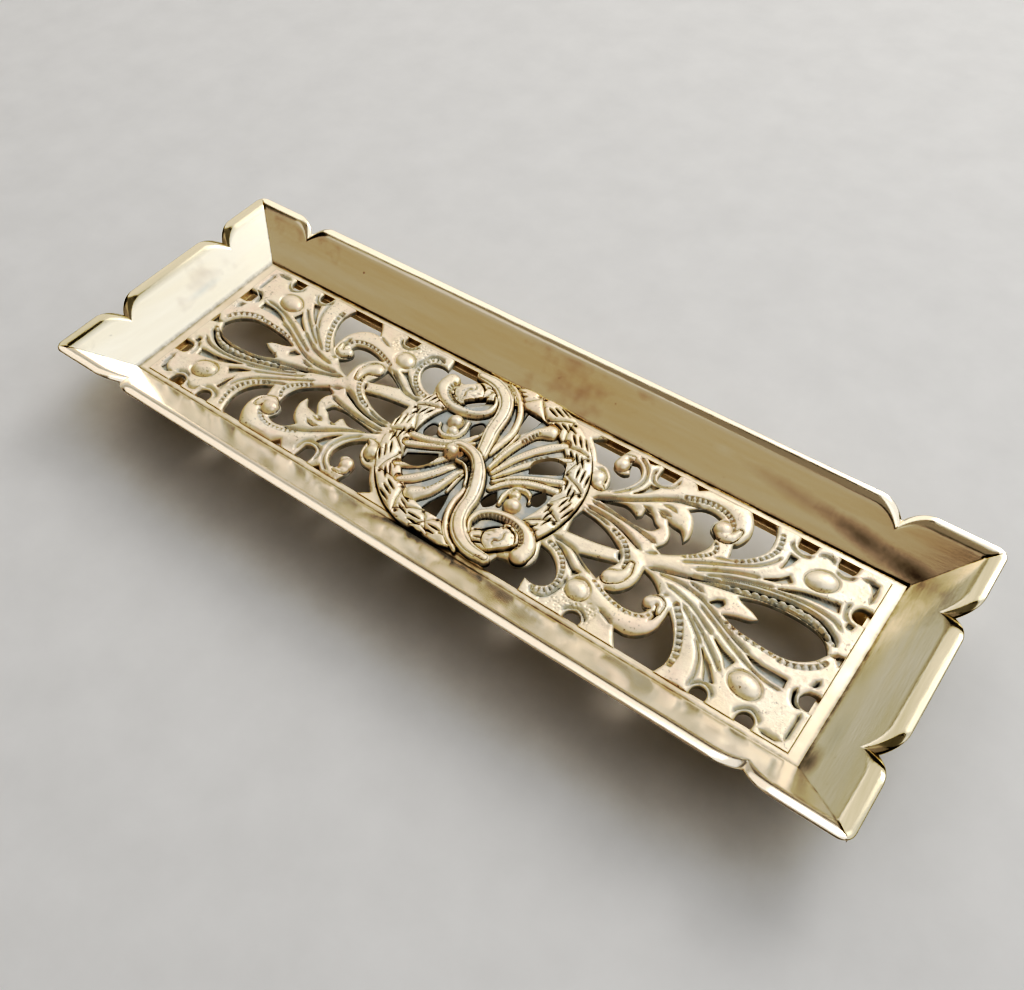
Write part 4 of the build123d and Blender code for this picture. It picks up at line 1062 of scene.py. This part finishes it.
for turn in (1, -1):
    for height, path in WREATH_STRANDS:
        band(wreath, wreath_z, turned(path, turn), web - 0.1, height, stitched=True)
    for width, spacing, path in DRILLED:
        bead_row(wreath, wreath_z, width, spacing, turned(path, turn))
    for x, y, r, height in INNER_EYES:
        gap = EYE_GAP if turn > 0 else EYE_GAP - 180
        dome(wreath, wreath_z, turn * x, turn * y, r, r, 0, height, web, gap)
    x, y, r = ROSETTE
    cx, cy = turn * x, turn * y
    where = wreath.window((cx - r, cy - r), (cx + r, cy + r))
    from_middle = np.hypot(wreath.x[where] - cx, wreath.y[where] - cy)
    flower = (from_middle < r) & (wreath.solid[where] > 0.35)
    flower_z = web + 0.5 + 0.9 * arch(from_middle / r)
    wreath_z[where] = np.where(flower, flower_z, wreath_z[where])
    # Painted shade round the flower's edge.
    wreath.dark[where] = np.where(flower, np.clip((from_middle - r + 0.5) / 0.4, 0, 1), wreath.dark[where])
    wreath.bloom[where] *= ~flower
    for width, depth, path in ROSETTE_CUTS:
        before = wreath.cut.copy()
        wreath.engrave(width, depth, turned(path, turn))
        wreath_z -= wreath.cut - before
    band(wreath, wreath_z, turned(VOLUTE, turn), web + 0.3, 1.3)
    bead_row(wreath, wreath_z, 0.9, 1.0, turned(VOLUTE_BEADS, turn))

# The S scrolls: one passes under the other, whose head stands free over a deep recess, darkened with painted
# shadow.
STRAND_BASE, STRAND_RISE = web + 0.3, 0.8
RECESS_X, RECESS_Y, RECESS_RX, RECESS_RY = -4.6, -3.6, 3.4, 2.7
RECESS_FLOOR = web - 0.4
LEAST_THICKNESS = 0.35
band(wreath, wreath_z, STRANDS[1], STRAND_BASE, STRAND_RISE)
band(wreath, wreath_z, UNDERPASS, web + 0.5, 1.1, 3.0, lined=True)
band(wreath, wreath_z, STRANDS[0], STRAND_BASE, STRAND_RISE)
from_recess = np.hypot((wreath.x - RECESS_X) / RECESS_RX, (wreath.y - RECESS_Y) / RECESS_RY)
recess = falloff(from_recess, 1, 1.35)
wreath_z = wreath_z * (1 - recess) + RECESS_FLOOR * recess
# Painted shadow in the recess under the scroll's head.
wreath.darken(..., recess)
band(wreath, wreath_z, NECK_LIP, STRAND_BASE, STRAND_RISE)
band(wreath, wreath_z, CROSSING, web + 0.8, 1.1, 2.6, lined=True)
bead_row(wreath, wreath_z, 1.3, 1.2, NECK_BEADS)
x, y, r = CROSSING_EYE
dome(wreath, wreath_z, x, y, r, r, 0, 2.0, web + 0.9, -20)
wreath_z = np.maximum(wreath_z, ground + LEAST_THICKNESS)
wreath_piece = plate("medallion_casting", wreath, wreath_z, ground, medallion_brass)
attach(wreath_piece, "root")
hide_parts("wreath_medallion")

# ---- Gallery walls ----

# LAND is the width of the rim and ROLL_DROP its fall to the crease. EDGE is the radius of its thin edge, and
# CORNER the radius of its tips in plan.
front_low, front_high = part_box("gallery_front")
right_low, right_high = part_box("gallery_right")
rim_top = front_high.z / MM
shoulder = front_low.z / MM
reach_x, reach_y = right_high.x / MM, front_low.y / -MM
foot_x, foot_y = right_low.x / MM, front_high.y / -MM
LAND = 2.6
ROLL_DROP = 1.6
SCALLOP_HALF, SCALLOP_DEPTH = 7.0, 2.7
EDGE = 0.35
CORNER = 3.0
end_run = reach_x - foot_x - LAND
side_land = LAND * (reach_y - foot_y) / (reach_x - foot_x)
side_run = reach_y - foot_y - side_land


def crest_height(s, scallops):
    """Height of the rim along a wall: level, with cusps between rounded shoulders."""
    z = np.full(s.shape, rim_top)
    radius = (SCALLOP_HALF ** 2 + SCALLOP_DEPTH ** 2) / (2 * SCALLOP_DEPTH)
    for middle in scallops:
        t = SCALLOP_HALF - np.abs(s - middle)
        drop = radius - np.sqrt(np.maximum(radius ** 2 - np.clip(t, 0, None) ** 2, 0))
        z = np.where(t > 0, rim_top - drop, z)
    return z


def round_corner(x, y, z):
    """Draws in the points beside a rim corner, so that the tips of the rim are round in plan."""
    dx, dy = np.abs(x) - (reach_x - CORNER), np.abs(y) - (reach_y - CORNER)
    beside = (dx > 0) & (dy > 0)
    pull = np.where(beside, np.maximum(dx, dy) / np.maximum(np.hypot(dx, dy), TINY), 1)
    x = np.where(beside, np.sign(x) * (reach_x - CORNER + dx * pull), x)
    y = np.where(beside, np.sign(y) * (reach_y - CORNER + dy * pull), y)
    return np.stack([x, y, z], -1)


WALL_COLUMNS, SCALLOP_COLUMNS = 420, 41
FACE_ROWS, ROLL_ROWS, EDGE_ROWS, BACK_ROWS = 14, 14, 5, 12
ROLL_POWER, ROLL_NARROWING, CREST_START = 2.3, 0.6, 0.3
WELD = 1e-6
WALL_CRISP = math.radians(50)


def gallery_wall(name, cad_node, foot, run, land, half_span, spread, scallops, place, material):
    """A flared wall with a rolled rim. Each column along it is one closed section, clipped by the mitre."""
    marks = [np.linspace(-half_span - spread, half_span + spread, WALL_COLUMNS)]
    marks += [np.linspace(m - SCALLOP_HALF, m + SCALLOP_HALF, SCALLOP_COLUMNS) for m in scallops]
    s = np.unique(np.round(np.concatenate(marks), 3))
    top = crest_height(s, scallops)
    roll = ROLL_DROP * (1 - ROLL_NARROWING * (rim_top - top) / SCALLOP_DEPTH)
    slope = run / (rim_top - ground)
    outer_foot = foot + run + land - (rim_top - shoulder) * slope
    start = foot + np.maximum(np.abs(s) - half_span, 0) / spread * (run + land)

    def inner(z):
        return foot + (z - ground) * slope

    def outer(z):
        return outer_foot + (z - shoulder) * slope

    # Rows of the section: face, distance out, height and how much of the rim's painted light tone they have.
    # The inner face bends outwards at a crease and rolls over, ever flatter, to a thin edge. The outer face
    # goes back down.
    section = [("in", inner(ground) + 0 * s, shoulder + 0 * s, 0)]
    for k in range(FACE_ROWS + 1):
        z = ground + (top - roll - ground) * k / FACE_ROWS
        section.append(("in", inner(z), z, 0))
    crease = inner(top - roll)
    brim = outer(top) - EDGE
    for k in range(1, ROLL_ROWS + 1):
        t = k / ROLL_ROWS
        rise = roll * (1 - (1 - t) ** ROLL_POWER)
        section.append(("rim", crease + (brim - crease) * t, top - roll + rise, min(1, t / CREST_START)))
    for k in range(1, EDGE_ROWS):
        a = math.pi / 2 * k / EDGE_ROWS
        section.append(("rim", brim + EDGE * math.sin(a), top - EDGE * (1 - math.cos(a)), 1))
    for k in range(BACK_ROWS, -1, -1):
        z = shoulder + (top - EDGE - shoulder) * k / BACK_ROWS
        section.append(("out", outer(z), z, 0))
    rows, rim_painted_light = [], []
    for face, u, z, tone in section:
        clipped = u < start
        u = np.maximum(u, start)
        if face == "out":
            z = np.where(clipped, shoulder + (u - outer_foot) / slope, z)
        if face == "in":
            z = np.where(clipped, np.minimum(ground + (u - foot) / slope, top), z)
        rows.append(round_corner(*place(s, u, np.clip(z, shoulder, top))))
        rim_painted_light.append(np.full(s.shape, float(tone)))
    grid = np.stack(rows, 1)
    columns, ring = grid.shape[:2]
    index = np.arange(columns * ring).reshape(columns, ring)
    following = np.roll(index, -1, axis=1)
    quads = np.stack([index[:-1], index[1:], following[1:], following[:-1]], -1).reshape(-1, 4)
    mesh = bpy.data.meshes.new(name)
    mesh.from_pydata((grid.reshape(-1, 3) * MM).tolist(), [], quads.tolist())
    layer = mesh.attributes.new("rim_painted_light", "FLOAT", "POINT")
    layer.data.foreach_set("value", np.stack(rim_painted_light, 1).ravel().astype(np.float32))
    piece = link(name, mesh)
    bm = bmesh.new()
    bm.from_mesh(mesh)
    bmesh.ops.remove_doubles(bm, verts=bm.verts, dist=WELD)
    bmesh.ops.recalc_face_normals(bm, faces=bm.faces)
    bm.to_mesh(mesh)
    bm.free()
    for polygon in mesh.polygons:
        polygon.use_smooth = True
    mesh.set_sharp_from_angle(angle=WALL_CRISP)
    mesh.materials.append(material)
    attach(piece, "root")
    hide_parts(cad_node)


SIDE_SCALLOPS, END_SCALLOPS = (-95, 95), (-20, 20)
side = (foot_y, side_run, side_land, foot_x, end_run + LAND, SIDE_SCALLOPS)
end = (foot_x, end_run, LAND, foot_y, side_run + side_land, END_SCALLOPS)
gallery_wall("front_wall", "gallery_front", *side, lambda s, u, z: (s, -u, z), near_wall_brass)
gallery_wall("back_wall", "gallery_back", *side, lambda s, u, z: (s, u, z), far_wall_brass)
gallery_wall("left_wall", "gallery_left", *end, lambda s, u, z: (-u, s, z), end_wall_brass)
gallery_wall("right_wall", "gallery_right", *end, lambda s, u, z: (u, s, z), end_wall_brass)


def finish_node(name, material):
    """Gives a CAD node that is shown as it is its material."""
    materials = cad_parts[name].data.materials
    materials.clear()
    materials.append(material)


finish_node("base_frame", frame_brass)
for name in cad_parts:
    if name.startswith("foot_"):
        finish_node(name, foot_brass)
finish_node("foot_screws", fastener_brass)
finish_node("medallion_rivets", fastener_brass)

# ---- Floor and light ----

FLOOR = 1.2
FLOOR_DARK, FLOOR_LIGHT = (0.79, 0.78, 0.76), (0.84, 0.83, 0.81)
floor_material, tree, shader = new_material("pale_floor")
floor_tone = ramp(tree, noise(tree, 60, 4), (0.3, FLOOR_DARK), (0.7, FLOOR_LIGHT))
tree.links.new(floor_tone, shader.inputs["Base Color"])
shader.inputs["Roughness"].default_value = 0.7
floor_mesh = bpy.data.meshes.new("floor")
floor_corners = [(FLOOR * x, FLOOR * y, 0) for x, y in ((-1, -1), (1, -1), (1, 1), (-1, 1))]
floor_mesh.from_pydata(floor_corners, [], [(0, 1, 2, 3)])
floor_mesh.materials.append(floor_material)
floor = link("floor", floor_mesh)


def softbox(name, azimuth, elevation, distance, size, power, colour):
    """An area light that faces the tray. Azimuth 0 is beyond the far wall (+Y), 90 is +X."""
    light = bpy.data.lights.new(name, "AREA")
    light.shape = "RECTANGLE"
    light.size, light.size_y = size
    light.energy = power
    light.color = colour
    lamp = link(name, light)
    a, e = math.radians(azimuth), math.radians(elevation)
    level = distance * math.cos(e)
    lamp.location = (level * math.sin(a), level * math.cos(a), distance * math.sin(e))
    lamp.rotation_euler = (math.radians(90 - elevation), 0, math.radians(180 - azimuth))


softbox("window", 56, 51, 1.3, (2.0, 1.4), 9.0, (0.97, 1.0, 1.04))
softbox("skylight", -26, 46, 1.3, (2.0, 1.0), 7.3, (1.0, 0.97, 0.92))
softbox("overhead", 180, 86, 1.25, (2.2, 0.85), 1.45, (1.0, 0.97, 0.92))
softbox("key", 9, 42, 1.4, (0.4, 0.4), 2.6, (1.0, 0.98, 0.95))
softbox("horizon", -58, 13, 1.5, (1.6, 0.66), 1.2, (1.0, 0.98, 0.94))
softbox("room", 214, 46, 1.6, (1.5, 1.2), 2.25, (1.0, 0.94, 0.93))

HORIZON_TONE, ZENITH_TONE = (0.42, 0.41, 0.395), (0.04, 0.039, 0.037)
world = bpy.data.worlds.new("studio")
world.use_nodes = True
sky = world.node_tree
height = node(sky, "SeparateXYZ", Vector=node(sky, "TexCoord").outputs["Generated"]).outputs["Z"]
sky_tone = ramp(sky, height, (0.0, HORIZON_TONE), (0.22, ZENITH_TONE))
sky.links.new(sky_tone, sky.nodes["Background"].inputs["Color"])
bpy.context.scene.world = world

# The photograph's contrast: deep shadows, and middle tones as they are.
COMBINED = 3
view = bpy.context.scene.view_settings
view.view_transform = "Standard"
view.use_curve_mapping = True
for tone_in, tone_out in ((0.13, 0.029), (0.38, 0.37), (0.7, 0.69)):
    view.curve_mapping.curves[COMBINED].points.new(tone_in, tone_out)
view.curve_mapping.update()
